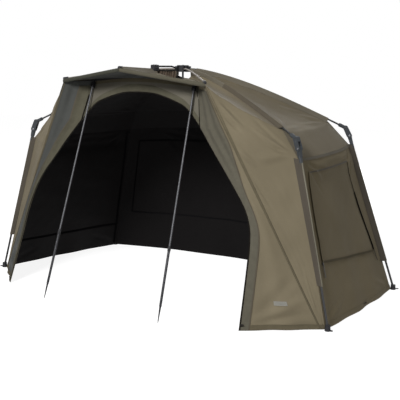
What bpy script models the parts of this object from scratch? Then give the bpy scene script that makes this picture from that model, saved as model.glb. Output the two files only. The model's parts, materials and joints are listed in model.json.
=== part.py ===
"""Fishing brolly shelter, in metres: +X is the right side, -Y the open front, +Z up.

Seven ribs hinge on a hub. Four of them end in knuckles that carry folding legs, and three hold out
the peak over the doorway. The cloth hangs under the ribs and inside the legs, and two telescopic
storm poles stand in front of the doorway.
"""

import math

import bmesh
import bpy
import numpy as np
from mathutils import Matrix, Vector

# Frame, right-hand side. The left side is its mirror image.
HUB = np.array((0.0, -0.035, 1.412))
FRONT_ELBOW = np.array((1.004, -0.341, 1.042))
REAR_ELBOW = np.array((0.880, 0.535, 1.052))
FRONT_PIN = np.array((1.024, -0.347, 0.990))
REAR_PIN = np.array((0.902, 0.548, 1.002))
FRONT_FOOT = np.array((1.274, -0.407, 0.0))
REAR_FOOT = np.array((1.184, 0.714, 0.0))
PEAK_TIP = np.array((0.538, -0.570, 1.344))
CENTRE_TIP = np.array((0.0, -0.678, 1.421))
MAIN_BOW = 0.045
PEAK_BOW = 0.012
RIB_SEGMENTS = 9

# Hub
PIVOT_RADIUS = 0.045
HUB_RADIUS = 0.053
HUB_HEIGHT = 0.036
HUB_RING_RADIUS = 0.003
HUB_SLOT_WIDTH = 0.0090
HUB_SLOT_DEPTH = 0.020
HUB_CAP_RADIUS = 0.040
HUB_CAP_HEIGHT = 0.006
HUB_CAP_TAPER = 0.90
STEM_RADIUS = 0.0065
STEM_LENGTH = 0.044

# Gap between faces that touch, and round a pole in its socket
FACE_GAP = 0.0004
BORE_GAP = 0.0005

# How far a cutter reaches past the face it cuts
CUT_OVER = 0.010

# Poles
RIB_RADIUS = 0.0056
LEG_RADIUS = 0.0068
POLE_SIDES = 10
EYE_WIDTH = 0.0080
EYE_RADIUS = 0.0062
EYE_LENGTH = 0.030
EYE_BORE = 0.0036
TIP_CAP_RADIUS = 0.0095
TIP_CAP_LENGTH = 0.030
TIP_CAP_WALL = 0.004
CENTRE_ARM_END = 0.270
CENTRE_BLOCK_LENGTH = 0.052
CENTRE_BLOCK_WIDTH = 0.030
CENTRE_BLOCK_HEIGHT = 0.040
CENTRE_BLOCK_DROP = 0.0095
CENTRE_POLE_DROP = 0.020
CENTRE_ARM_RISE = 0.016

# Knuckles
CHEEK_RADIUS = 0.0165
CHEEK_WIDTH = 0.027
SLOT_WIDTH = 0.0184
SLOT_RADIUS = 0.0215
SLOT_REACH = 0.0430
COLLAR_RADIUS = 0.0115
COLLAR_LENGTH = 0.048
PIN_RADIUS = 0.0048
TONGUE_RADIUS = 0.0135
TONGUE_WIDTH = 0.0170
TONGUE_REACH = 0.046
SOCKET_START = 0.040
SOCKET_END = 0.082
SOCKET_RADIUS = 0.0108
LEG_START = 0.054

# Feet
FOOT_RADIUS = 0.0170
FOOT_TOP_RADIUS = 0.0150
FOOT_HEIGHT = 0.034
FOOT_FLOOR = 0.006
FOOT_EYE_REACH = 0.028
FOOT_EYE_RADIUS = 0.0085
FOOT_EYE_HEIGHT = 0.007
FOOT_EYE_THICKNESS = 0.004
FOOT_EYE_HOLE = 0.0040

# Storm poles
STORM_TOP = np.array((0.388, -0.466, 1.300))
STORM_FOOT = np.array((0.441, -0.864, 0.0008))
STORM_UPPER_RADIUS = 0.0055
STORM_LOWER_RADIUS = 0.0075
STORM_UPPER_END = 1.010
STORM_LOWER_START = 0.952
STORM_BORE_END = 1.250
STORM_SPIKE_LENGTH = 0.095
STORM_SPIKE_TIP = 0.002
STORM_EYE_RADIUS = 0.0075
STORM_EYE_LENGTH = 0.022
STORM_COLLAR_LENGTH = 0.030
STORM_COLLAR_RADIUS = 0.0092
CLIP_RADIUS = 0.0100
CLIP_WIDTH = 0.0215
CLIP_REACH = 0.024
CLIP_SLOT_WIDTH = 0.0092
CLIP_SLOT_RADIUS = 0.0125
CLIP_MOUTH_RADIUS = 0.0105
CLIP_PIN_RADIUS = 0.0030
CLIP_PIN_REACH = 0.0095
STRAP_WIDTH = 0.020
STRAP_THICKNESS = 0.0024
STRAP_TOP = np.array((0.388, -0.452, 1.336))

# Cloth
CLOTH_THICKNESS = 0.003
CLOTH_GAP = 0.0030
WING_TOP_GAP = 0.005
HEM_HEIGHT = 0.005
SEAM_DROP = 0.0135
HOLE_RADIUS = 0.085
HOLE_DROP = 0.026
HOLE_DROP_REACH = 0.17
VISOR_HOLE_DROP = 0.058
VISOR_HOLE_DIP = 0.006
PEAK_SEAM_BOW = 0.010
CENTRE_SEAM_RISE = (0.245, 0.290)
CUTOUT_ON_RIB = 0.125
CUTOUT_ON_LEG = 0.056
LEG_SEAM_INSET = 0.021
HEADER_END = np.array((0.402, -0.437, 1.345))
HEADER_MID = np.array((0.0, -0.485, 1.372))
ARCH_END = np.array((0.452, -0.491, 1.085))
DOOR_CORNER = np.array((0.888, -0.721, HEM_HEIGHT))
DOOR_ARCH = ((0.0, -0.480, 1.270), (0.130, -0.480, 1.262), (0.281, -0.483, 1.220), (0.360, -0.484, 1.180))
DOOR_EDGE = (
    (0.565, -0.513, 0.95), (0.646, -0.523, 0.85), (0.727, -0.535, 0.75), (0.796, -0.542, 0.65),
    (0.837, -0.556, 0.55), (0.855, -0.582, 0.45), (0.863, -0.610, 0.35), (0.877, -0.673, 0.15),
)
SEAM_INSET_AT_GROUND = 0.022
WALL_FOLD = 0.006
GORE_TIP_MARK = 0.42
GORE_LEG_MARK = 0.54
ROOF_CORNER_MARK = 0.86
SIDE_EAVE_BULGE = np.array((0.030, 0.005, -0.008))
REAR_EAVE_BULGE = 0.195
REAR_EAVE_LIFT = 0.030
EAVE_POWER = 2.6
SIDE_ROOF_SAG = 0.030
REAR_ROOF_SAG = 0.035
GORE_SAG = 0.016
VISOR_SAG = 0.008
SIDE_GROUND_BULGE = 0.020
REAR_GROUND_BULGE = 0.158
WINDOW_LIFT = 0.0045
SIDE_WINDOW_ACROSS = (0.096, 0.80)
SIDE_WINDOW_DOWN = (0.09, 0.66)
REAR_WALL_COLUMNS = 22
REAR_WALL_ROWS = 10
REAR_WINDOW_COLUMNS = (1, 21)
REAR_WINDOW_ROWS = (1, 7)

# Zip sliders
ZIP_ACROSS = 0.080
ZIP_DOWN = 0.64
ZIP_TRAVEL_TOP = 0.11
ZIP_LIFT = 0.0075
ZIP_BODY_RADIUS = 0.0055
ZIP_BODY_LENGTH = 0.010
ZIP_BODY_THICKNESS = 0.006
ZIP_TAB_RADIUS = 0.0042
ZIP_TAB_LENGTH = 0.070
ZIP_TAB_THICKNESS = 0.002

UP = np.array((0.0, 0.0, 1.0))
RIGHT = np.array((1.0, 0.0, 0.0))
INSIDE = np.array((0.0, 0.1, 0.5))
SIDES = (("right", 1.0), ("left", -1.0))


def clear_scene():
    for obj in list(bpy.data.objects):
        bpy.data.objects.remove(obj, do_unlink=True)


def new_collection(name):
    collection = bpy.data.collections.new(name)
    bpy.context.scene.collection.children.link(collection)
    return collection


def new_material(name, colour, roughness, metallic=0.0):
    material = bpy.data.materials.new(name)
    material.use_nodes = True
    shader = material.node_tree.nodes["Principled BSDF"]
    shader.inputs["Base Color"].default_value = (*colour, 1.0)
    shader.inputs["Roughness"].default_value = roughness
    shader.inputs["Metallic"].default_value = metallic
    return material


clear_scene()
PARTS = new_collection("fishing_brolly_shelter")
CUTTERS = new_collection("cutters")
OLIVE_CLOTH = new_material("olive_cloth", (0.155, 0.130, 0.088), 0.85)
BLACK_PLASTIC = new_material("black_plastic", (0.020, 0.020, 0.022), 0.45)
RIB_METAL = new_material("rib_metal", (0.110, 0.110, 0.120), 0.38, 0.9)
STORM_METAL = new_material("storm_metal", (0.300, 0.300, 0.310), 0.32, 0.9)
SPIKE_METAL = new_material("spike_metal", (0.080, 0.080, 0.090), 0.35, 0.9)
ZIP_METAL = new_material("zip_metal", (0.060, 0.058, 0.055), 0.40, 0.6)


def unit(vector):
    return vector / np.linalg.norm(vector)


def mirrored(point, sign):
    return point * (sign, 1.0, 1.0)


def outward(point):
    """Level unit vector from the hub's axis towards a point."""
    return unit((point - HUB) * (1.0, 1.0, 0.0))


def across(point):
    """Level unit vector along the hinge axis of the rib that ends at a point."""
    return np.cross(UP, outward(point))


def leg_axis(pin, foot):
    """Level hinge axis of a leg, halfway between square to its rib and square to the leg itself."""
    beside_leg = np.cross(UP, unit((foot - pin) * (1.0, 1.0, 0.0)))
    return unit(across(pin) + beside_leg)


def rib_pivot(end):
    return HUB + PIVOT_RADIUS * outward(end)


def rib_line(end, bow, segments=RIB_SEGMENTS):
    """Points of a bowed rib, from its pivot on the hub to its end."""
    t = np.linspace(0, 1, segments + 1)[:, None]
    line = rib_pivot(end) * (1 - t) + end * t
    line[:, 2] += bow * np.sin(math.pi * t[:, 0] ** 0.75)
    return line


def joint_empty(name, location, parent=None):
    """An empty on a joint's axis, which carries the pieces that turn or slide there."""
    empty = bpy.data.objects.new(name, None)
    PARTS.objects.link(empty)
    empty.empty_display_size = 0.04
    empty.parent = parent
    empty["place"] = [float(value) for value in location]
    origin = Vector(parent["place"]) if parent else Vector((0, 0, 0))
    empty.location = Vector(location) - origin
    return empty


def put(obj, collection, owner):
    """Links an object whose mesh is in world coordinates, with its origin moved to its owner's place."""
    collection.objects.link(obj)
    obj.data.transform(Matrix.Translation(-Vector(owner["place"])))
    obj.parent = owner


def piece(name, mesh, material, owner, add=(), cut=(), pins=()):
    """A named part. Meshes in add are joined to it, those in cut are taken out, then pins are joined."""
    mesh.materials.append(material)
    mesh.shade_smooth()
    mesh.set_sharp_from_angle(angle=math.radians(32))
    obj = bpy.data.objects.new(name, mesh)
    put(obj, PARTS, owner)
    steps = [("UNION", tool) for tool in add]
    steps += [("DIFFERENCE", tool) for tool in cut]
    steps += [("UNION", tool) for tool in pins]
    for number, (operation, tool) in enumerate(steps):
        helper = bpy.data.objects.new(f"{name}_tool_{number}", tool)
        put(helper, CUTTERS, owner)
        helper.hide_render = True
        helper.display_type = "WIRE"
        modifier = obj.modifiers.new(f"{operation.title()} {number}", "BOOLEAN")
        modifier.operation = operation
        modifier.object = helper
    return obj


def finished(bm, name):
    bmesh.ops.recalc_face_normals(bm, faces=bm.faces)
    mesh = bpy.data.meshes.new(name)
    bm.to_mesh(mesh)
    bm.free()
    return mesh


def rod(start, stop, radius, end_radius=None, sides=POLE_SIDES):
    """A cylinder, or a cone where end_radius differs, between two points."""
    start, stop = Vector(start), Vector(stop)
    axis = stop - start
    turn = axis.to_track_quat("Z", "Y").to_matrix().to_4x4()
    bm = bmesh.new()
    bmesh.ops.create_cone(
        bm,
        cap_ends=True,
        segments=sides,
        radius1=radius,
        radius2=radius if end_radius is None else end_radius,
        depth=axis.length,
        matrix=Matrix.Translation((start + stop) / 2) @ turn,
    )
    return finished(bm, "rod")


def block(centre, size, direction):
    """A box whose length lies along a level direction. size is its length, width and height."""
    bm = bmesh.new()
    turn = Vector(direction).to_track_quat("X", "Z").to_matrix().to_4x4()
    place = Matrix.Translation(Vector(centre)) @ turn @ Matrix.Diagonal((*size, 1.0))
    bmesh.ops.create_cube(bm, size=1.0, matrix=place)
    return finished(bm, "block")


def link(first, second, radii, axis, width, sides=14):
    """A flat link with round ends: the hull of two discs that face along an axis."""
    bm = bmesh.new()
    turn = Vector(axis).to_track_quat("Z", "Y").to_matrix().to_4x4()
    for centre, radius in zip((first, second), radii):
        for side in (-0.5, 0.5):
            place = Matrix.Translation(Vector(centre + side * width * axis)) @ turn
            bmesh.ops.create_circle(bm, segments=sides, radius=radius, matrix=place)
    hull = bmesh.ops.convex_hull(bm, input=bm.verts)
    loose = [item for item in hull["geom_interior"] if isinstance(item, bmesh.types.BMVert)]
    bmesh.ops.delete(bm, geom=loose, context="VERTS")
    bmesh.ops.dissolve_limit(bm, angle_limit=math.radians(1), verts=bm.verts, edges=bm.edges)
    return finished(bm, "link")


def tube(points, radius):
    """A bent pole along points, as a mesh with its caps welded on."""
    curve = bpy.data.curves.new("pole", "CURVE")
    curve.dimensions = "3D"
    curve.bevel_depth = radius
    curve.bevel_resolution = 2
    curve.use_fill_caps = True
    spline = curve.splines.new("POLY")
    spline.points.add(len(points) - 1)
    for point, place in zip(spline.points, points):
        point.co = (*place, 1.0)
    guide = bpy.data.objects.new("pole", curve)
    bpy.context.scene.collection.objects.link(guide)
    evaluated = guide.evaluated_get(bpy.context.evaluated_depsgraph_get())
    mesh = bpy.data.meshes.new_from_object(evaluated)
    bpy.data.objects.remove(guide)
    bm = bmesh.new()
    bm.from_mesh(mesh)
    bmesh.ops.remove_doubles(bm, verts=bm.verts, dist=0.00001)
    return finished(bm, "pole")


def rib(name, line, owner, hinge_axis, material):
    """A rib pole with a flat eye at its pivot."""
    start = line[0]
    direction = unit(line[1] - start)
    body = tube([start + direction * EYE_LENGTH * 0.75, *line[1:]], RIB_RADIUS)
    radii = (EYE_RADIUS, EYE_RADIUS)
    eye = link(start, start + direction * EYE_LENGTH, radii, hinge_axis, EYE_WIDTH)
    reach = hinge_axis * EYE_WIDTH
    bore = rod(start - reach, start + reach, EYE_BORE)
    return piece(name, body, material, owner, add=[eye], cut=[bore])


def tip_cap(name, tip, direction, owner):
    """A closed cap over the end of a rib."""
    cap = rod(tip - direction * TIP_CAP_LENGTH, tip + direction * TIP_CAP_WALL, TIP_CAP_RADIUS)
    bore_start = tip - direction * (TIP_CAP_LENGTH + CUT_OVER)
    bore = rod(bore_start, tip + direction * FACE_GAP, RIB_RADIUS + BORE_GAP)
    return piece(name, cap, BLACK_PLASTIC, owner, cut=[bore])


def pivot_ring():
    """The ring inside the hub that every rib turns on."""
    ring = bmesh.new()
    profile = bmesh.ops.create_circle(
        ring,
        segments=6,
        radius=HUB_RING_RADIUS,
        matrix=Matrix.Translation((PIVOT_RADIUS, 0, 0)) @ Matrix.Rotation(math.pi / 2, 4, "X"),
    )
    edges = list({edge for vertex in profile["verts"] for edge in vertex.link_edges})
    bmesh.ops.spin(
        ring,
        geom=profile["verts"] + edges,
        cent=(0, 0, 0),
        axis=(0, 0, 1),
        angle=math.tau,
        steps=36,
        use_merge=True,
    )
    bmesh.ops.remove_doubles(ring, verts=ring.verts, dist=0.00001)
    bmesh.ops.translate(ring, verts=ring.verts, vec=Vector(HUB))
    return finished(ring, "ring")


def hub(root):
    """The slotted hub body with its pivot ring, the cap on it and the stem below."""
    half = HUB_HEIGHT / 2
    body = rod(HUB - half * UP, HUB + half * UP, HUB_RADIUS, sides=36)
    ends = [CENTRE_TIP]
    for _, sign in SIDES:
        ends += [mirrored(end, sign) for end in (FRONT_ELBOW, REAR_ELBOW, PEAK_TIP)]
    slots = []
    for end in ends:
        centre = HUB + outward(end) * (HUB_RADIUS - HUB_SLOT_DEPTH / 2 + 0.005)
        size = (HUB_SLOT_DEPTH + 0.010, HUB_SLOT_WIDTH, HUB_HEIGHT * 2)
        slots.append(block(centre, size, outward(end)))
    piece("hub_body", body, BLACK_PLASTIC, root, cut=slots, pins=[pivot_ring()])
    top = HUB + (half + FACE_GAP) * UP
    cap = rod(top, top + HUB_CAP_HEIGHT * UP, HUB_CAP_RADIUS, HUB_CAP_RADIUS * HUB_CAP_TAPER, sides=24)
    piece("hub_cap", cap, BLACK_PLASTIC, root)
    bottom = HUB - (half + FACE_GAP) * UP
    piece("hub_stem", rod(bottom, bottom - STEM_LENGTH * UP, STEM_RADIUS), RIB_METAL, root)


def centre_rib(owner):
    """The bare arm over the hub's cut-out, the block on its end, the outer pole and its cap."""
    forward = outward(CENTRE_TIP)
    pivot = rib_pivot(CENTRE_TIP)
    raised = pivot + 0.075 * forward + CENTRE_ARM_RISE * UP
    arm_end = HUB + CENTRE_ARM_END * forward + CENTRE_ARM_RISE * UP
    rib("centre_rib_arm", [pivot, raised, arm_end], owner, RIGHT, RIB_METAL)
    block_start = arm_end + FACE_GAP * forward
    centre = block_start + forward * CENTRE_BLOCK_LENGTH / 2 - CENTRE_BLOCK_DROP * UP
    size = (CENTRE_BLOCK_LENGTH, CENTRE_BLOCK_WIDTH, CENTRE_BLOCK_HEIGHT)
    body = piece("centre_rib_block", block(centre, size, forward), BLACK_PLASTIC, owner)
    bevel = body.modifiers.new("Rounded edges", "BEVEL")
    bevel.width = 0.005
    bevel.segments = 2
    pole_start = arm_end + forward * (CENTRE_BLOCK_LENGTH + 2 * FACE_GAP) - CENTRE_POLE_DROP * UP
    direction = unit(CENTRE_TIP - pole_start)
    piece("centre_rib_pole", rod(pole_start, CENTRE_TIP, RIB_RADIUS), RIB_METAL, owner)
    tip_cap("centre_tip_cap", CENTRE_TIP, direction, owner)


def knuckle(label, line, pin, foot, rib_owner, leg_owner):
    """The fork on a rib's end with its pin, the socket that turns on it, the leg pole and the foot."""
    elbow = line[-1]
    axis = leg_axis(pin, foot)
    along_rib = unit(line[-1] - line[-2])
    fork = link(pin, elbow, (CHEEK_RADIUS, CHEEK_RADIUS * 0.92), axis, CHEEK_WIDTH)
    collar = rod(elbow - along_rib * COLLAR_LENGTH, elbow, COLLAR_RADIUS, sides=14)
    pin_mesh = rod(pin - axis * CHEEK_WIDTH * 0.45, pin + axis * CHEEK_WIDTH * 0.45, PIN_RADIUS)
    rib_bore_start = elbow - along_rib * (COLLAR_LENGTH + CUT_OVER)
    rib_bore = rod(rib_bore_start, elbow + along_rib * FACE_GAP, RIB_RADIUS + BORE_GAP)
    slot_end = pin + unit(elbow - pin) * (SLOT_REACH - SLOT_RADIUS)
    slot = link(pin, slot_end, (SLOT_RADIUS, SLOT_RADIUS), axis, SLOT_WIDTH)
    piece(
        f"{label}_knuckle_upper",
        fork,
        BLACK_PLASTIC,
        rib_owner,
        add=[collar],
        cut=[slot, rib_bore],
        pins=[pin_mesh],
    )

    down = unit(foot - pin)
    tongue = link(pin, pin + down * TONGUE_REACH, (TONGUE_RADIUS, TONGUE_RADIUS * 0.8), axis, TONGUE_WIDTH)
    socket = rod(pin + down * SOCKET_START, pin + down * SOCKET_END, SOCKET_RADIUS, sides=14)
    pin_bore = rod(pin - axis * TONGUE_WIDTH, pin + axis * TONGUE_WIDTH, PIN_RADIUS + BORE_GAP)
    leg_bore = rod(pin + down * LEG_START, pin + down * (SOCKET_END + CUT_OVER), LEG_RADIUS + BORE_GAP)
    piece(
        f"{label}_knuckle_lower",
        tongue,
        BLACK_PLASTIC,
        leg_owner,
        add=[socket],
        cut=[pin_bore, leg_bore],
    )

    leg_start = pin + down * (LEG_START + BORE_GAP)
    leg_end = foot - down * (FOOT_FLOOR + 0.0010) / -down[2]
    piece(f"{label}_leg", rod(leg_start, leg_end, LEG_RADIUS), RIB_METAL, leg_owner)
    level = outward(foot)
    base = (foot + down * (FOOT_HEIGHT / 2) / down[2]) * (1.0, 1.0, 0.0)
    body = rod(base, base + FOOT_HEIGHT * UP, FOOT_RADIUS, FOOT_TOP_RADIUS, sides=16)
    eye_start = base + FOOT_EYE_HEIGHT * UP
    eye_end = eye_start + level * FOOT_EYE_REACH
    eye = link(eye_start, eye_end, (FOOT_EYE_RADIUS, FOOT_EYE_RADIUS), UP, FOOT_EYE_THICKNESS)
    hole = rod(eye_end - CUT_OVER * UP, eye_end + CUT_OVER * UP, FOOT_EYE_HOLE)
    floor = foot - down * FOOT_FLOOR / -down[2]
    leg_hole = rod(floor, floor - down * FOOT_HEIGHT * 1.4, LEG_RADIUS + BORE_GAP)
    piece(f"{label}_foot", body, BLACK_PLASTIC, leg_owner, add=[eye], cut=[hole, leg_hole])


def storm_pole(side, sign, root):
    """A telescopic pole on a clip: upper rod, and the lower tube with its lock collar and spike."""
    top, foot = mirrored(STORM_TOP, sign), mirrored(STORM_FOOT, sign)
    down = unit(foot - top)
    length = np.linalg.norm(foot - top)

    def at(distance):
        return top + down * distance

    swing = joint_empty(f"storm_swing_{side}", top, root)
    slide = joint_empty(f"storm_slide_{side}", at(STORM_LOWER_START), swing)
    radii = (STORM_EYE_RADIUS, STORM_EYE_RADIUS)
    eye = link(top, at(STORM_EYE_LENGTH), radii, RIGHT, EYE_WIDTH)
    pin_hole = rod(top - CUT_OVER * RIGHT, top + CUT_OVER * RIGHT, EYE_BORE)
    upper = rod(at(STORM_EYE_LENGTH - 0.008), at(STORM_UPPER_END), STORM_UPPER_RADIUS)
    piece(f"storm_pole_upper_{side}", upper, STORM_METAL, swing, add=[eye], cut=[pin_hole])
    bore_radius = STORM_UPPER_RADIUS + BORE_GAP
    collar_end = STORM_LOWER_START - FACE_GAP
    collar_start = collar_end - STORM_COLLAR_LENGTH
    collar = rod(at(collar_start), at(collar_end), STORM_COLLAR_RADIUS, sides=14)
    through = rod(at(collar_start - CUT_OVER), at(collar_end + CUT_OVER), bore_radius)
    piece(f"storm_pole_collar_{side}", collar, BLACK_PLASTIC, slide, cut=[through])
    shoulder = length - STORM_SPIKE_LENGTH
    lower = rod(at(STORM_LOWER_START), at(shoulder), STORM_LOWER_RADIUS, sides=14)
    bore = rod(at(STORM_LOWER_START - CUT_OVER), at(STORM_BORE_END), bore_radius)
    spike = rod(at(shoulder - 0.002), at(length), STORM_LOWER_RADIUS * 0.9, STORM_SPIKE_TIP)
    piece(f"storm_pole_lower_{side}", lower, SPIKE_METAL, slide, add=[spike], cut=[bore])

    strap_top = mirrored(STRAP_TOP, sign)
    up = unit(strap_top - top)
    fork = link(top, top + up * CLIP_REACH, (CLIP_RADIUS, CLIP_RADIUS * 0.8), RIGHT, CLIP_WIDTH)
    radii = (CLIP_SLOT_RADIUS, CLIP_SLOT_RADIUS)
    slot = link(top, top + up * 0.002, radii, RIGHT, CLIP_SLOT_WIDTH)
    radii = (CLIP_MOUTH_RADIUS, CLIP_MOUTH_RADIUS)
    mouth = link(top, top + down * 0.03, radii, RIGHT, CLIP_SLOT_WIDTH)
    pin = rod(top - CLIP_PIN_REACH * RIGHT, top + CLIP_PIN_REACH * RIGHT, CLIP_PIN_RADIUS)
    middle = (top + up * CLIP_REACH + strap_top) / 2
    strap_length = np.linalg.norm(strap_top - top) - CLIP_REACH + 0.008
    strap = block(middle, (strap_length, STRAP_WIDTH, STRAP_THICKNESS), up)
    cuts = [slot, mouth]
    piece(f"storm_clip_{side}", fork, BLACK_PLASTIC, root, add=[strap], cut=cuts, pins=[pin])


def path(points, marks=None):
    """A line through points, as a function of how far along it a place is, from 0 to 1."""
    points = np.array(points, float)
    if marks is None:
        steps = np.linalg.norm(np.diff(points, axis=0), axis=1)
        marks = np.concatenate(([0.0], np.cumsum(steps))) / steps.sum()

    def at(t):
        return np.stack([np.interp(t, marks, points[:, k]) for k in range(3)], axis=-1)

    return at


def patch(top, bottom, left, right, form=None):
    """The smooth surface between four edges, with the form's folds or sag added to it."""

    def at(u, v):
        u, v = np.broadcast_arrays(u, v)
        cu, cv = u[..., None], v[..., None]
        level = top(u) * (1 - cv) + bottom(u) * cv
        upright = left(v) * (1 - cu) + right(v) * cu
        upper = top(0.0) * (1 - cu) + top(1.0) * cu
        lower = bottom(0.0) * (1 - cu) + bottom(1.0) * cu
        points = level + upright - (upper * (1 - cv) + lower * cv)
        return points if form is None else points + form(u, v)

    return at


def mirrored_patch(surface):
    return lambda u, v: surface(u, v) * (-1.0, 1.0, 1.0)


def drawn_in(grid, gap):
    """Moves each edge of a grid of points inwards by a gap."""
    for turned in (grid, grid.swapaxes(0, 1)):
        for edge, inner in ((0, 1), (-1, -2)):
            step = turned[inner] - turned[edge]
            turned[edge] += gap * step / np.linalg.norm(step, axis=-1, keepdims=True)
    return grid


def cloth(name, surface, columns, rows, owner, over=(0.0, 1.0), down=(0.0, 1.0), lift=0.0):
    """A sheet over part of a surface, as a grid with Solidify. lift raises it off the surface."""
    u = np.linspace(*over, columns + 1)[None, :]
    v = np.linspace(*down, rows + 1)[:, None]
    grid = surface(u, v)
    if lift:
        normal = np.cross(np.gradient(grid, axis=0), np.gradient(grid, axis=1))
        normal /= np.linalg.norm(normal, axis=-1, keepdims=True)
        normal *= np.sign(np.sum(normal * (grid - INSIDE), axis=-1, keepdims=True))
        grid = grid + lift * normal
    else:
        grid = drawn_in(grid, CLOTH_GAP)
    bm = bmesh.new()
    bmesh.ops.create_grid(bm, x_segments=columns, y_segments=rows, size=0.5)
    for vertex in bm.verts:
        column = round((vertex.co.x + 0.5) * columns)
        row = round((vertex.co.y + 0.5) * rows)
        vertex.co = grid[row, column]
    mesh = bpy.data.meshes.new(name)
    bm.to_mesh(mesh)
    bm.free()
    obj = piece(name, mesh, OLIVE_CLOTH, owner)
    solidify = obj.modifiers.new("Cloth thickness", "SOLIDIFY")
    solidify.thickness = CLOTH_THICKNESS if not lift else CLOTH_THICKNESS * 0.8
    solidify.offset = 0.0
    return obj


def seam_under(end, bow, stop=1.0):
    """Points of the seam under a rib, from the cut-out round the hub to a fraction of the rib."""
    t = np.linspace(0, 1, 40)
    line = path(rib_line(end, bow, 40))(t * stop)
    radius = np.linalg.norm((line - HUB)[:, :2], axis=1)
    near = np.clip(1 - (radius - HOLE_RADIUS) / HOLE_DROP_REACH, 0, 1)
    line[:, 2] -= SEAM_DROP + HOLE_DROP * near**2
    return line[radius >= HOLE_RADIUS]


def visor_seams():
    """Points of the seams along the visor: under its outer pole, and straight under the peak rib."""
    hole = HUB - VISOR_HOLE_DROP * UP
    reach = np.linalg.norm((CENTRE_TIP - HUB)[:2])
    radius = np.linspace(HOLE_RADIUS, reach, 40)
    block_end = CENTRE_ARM_END + CENTRE_BLOCK_LENGTH
    pole_end = HUB[2] + CENTRE_ARM_RISE - CENTRE_POLE_DROP
    under_pole = np.interp(radius, (block_end, reach), (pole_end, CENTRE_TIP[2])) - SEAM_DROP
    rise = np.clip(np.interp(radius, CENTRE_SEAM_RISE, (0.0, 1.0)), 0, 1)
    centre = hole + radius[:, None] * outward(CENTRE_TIP)
    centre[:, 2] += (under_pole - hole[2]) * rise
    t = np.linspace(0, 1, 40)[:, None]
    peak = (hole + HOLE_RADIUS * outward(PEAK_TIP)) * (1 - t) + (PEAK_TIP - SEAM_DROP * UP) * t
    peak[:, 2] += PEAK_SEAM_BOW * np.sin(math.pi * t[:, 0])
    return centre, peak


def hole_arc(first, second, dip=0.018):
    """The edge of the cut-out round the hub between two seams' first points."""
    start, stop = first - HUB, second - HUB
    angles = math.atan2(start[1], start[0]), math.atan2(stop[1], stop[0])
    turn = (angles[1] - angles[0] + math.pi) % math.tau - math.pi
    t = np.linspace(0, 1, 25)
    angle = angles[0] + turn * t
    radius = np.linalg.norm(start[:2]) * (1 - t) + np.linalg.norm(stop[:2]) * t
    height = start[2] * (1 - t) + stop[2] * t - dip * np.sin(math.pi * t)
    return HUB + np.stack([radius * np.cos(angle), radius * np.sin(angle), height], axis=-1)


def leg_seam(pin, foot):
    """The seam inside a leg, from the knuckle's cut-out to the hem."""
    down = unit(foot - pin)
    inset = LEG_SEAM_INSET * outward(foot)
    start = pin + down * CUTOUT_ON_LEG - inset
    stop = foot + down * HEM_HEIGHT / down[2] - inset
    return start, stop


def eave(first, second, bulge):
    """The fold between roof and wall, bulging out between two corners."""
    t = np.linspace(0, 1, 33)[:, None]
    return first * (1 - t) + second * t + bulge * (1 - np.abs(2 * t - 1) ** EAVE_POWER)


def seams():
    """The lines that the cloth on the right-hand side is sewn along, as named arrays of points."""
    found = {}
    for name, end, pin, foot in (
        ("front", FRONT_ELBOW, FRONT_PIN, FRONT_FOOT),
        ("rear", REAR_ELBOW, REAR_PIN, REAR_FOOT),
    ):
        length = np.linalg.norm(end - rib_pivot(end))
        rib_seam = seam_under(end, MAIN_BOW, 1 - CUTOUT_ON_RIB / length)
        start, stop = leg_seam(pin, foot)
        found[name + "_rib"] = rib_seam
        found[name + "_leg"] = np.array([start, stop])
        found[name + "_roof"] = np.vstack([rib_seam, start])
    found["centre"], found["peak"] = visor_seams()
    peak_end = PEAK_TIP - SEAM_DROP * UP
    ground = found["front_leg"][1]
    along = unit((DOOR_CORNER - ground) * (1, 1, 0))
    found["diagonal"] = np.array([peak_end, ground + along * SEAM_INSET_AT_GROUND])
    return found


def roof_form(sag, power=1.0):
    def form(u, v):
        depth = sag * 4 * u * (1 - u) * np.sin(math.pi * v**power)
        return np.stack([0 * u, 0 * u, -depth], axis=-1)

    return form


def wall_form(direction, depth, folds):
    """A wall's slack between its edges, with upright folds that grow towards the hem."""

    def form(u, v):
        slack = depth * np.sin(math.pi * v) * 4 * u * (1 - u)
        fold = WALL_FOLD * np.sin(folds * math.tau * u) * v**2 * np.sin(math.pi * u)
        return (slack + fold)[..., None] * np.array(direction)

    return form


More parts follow.
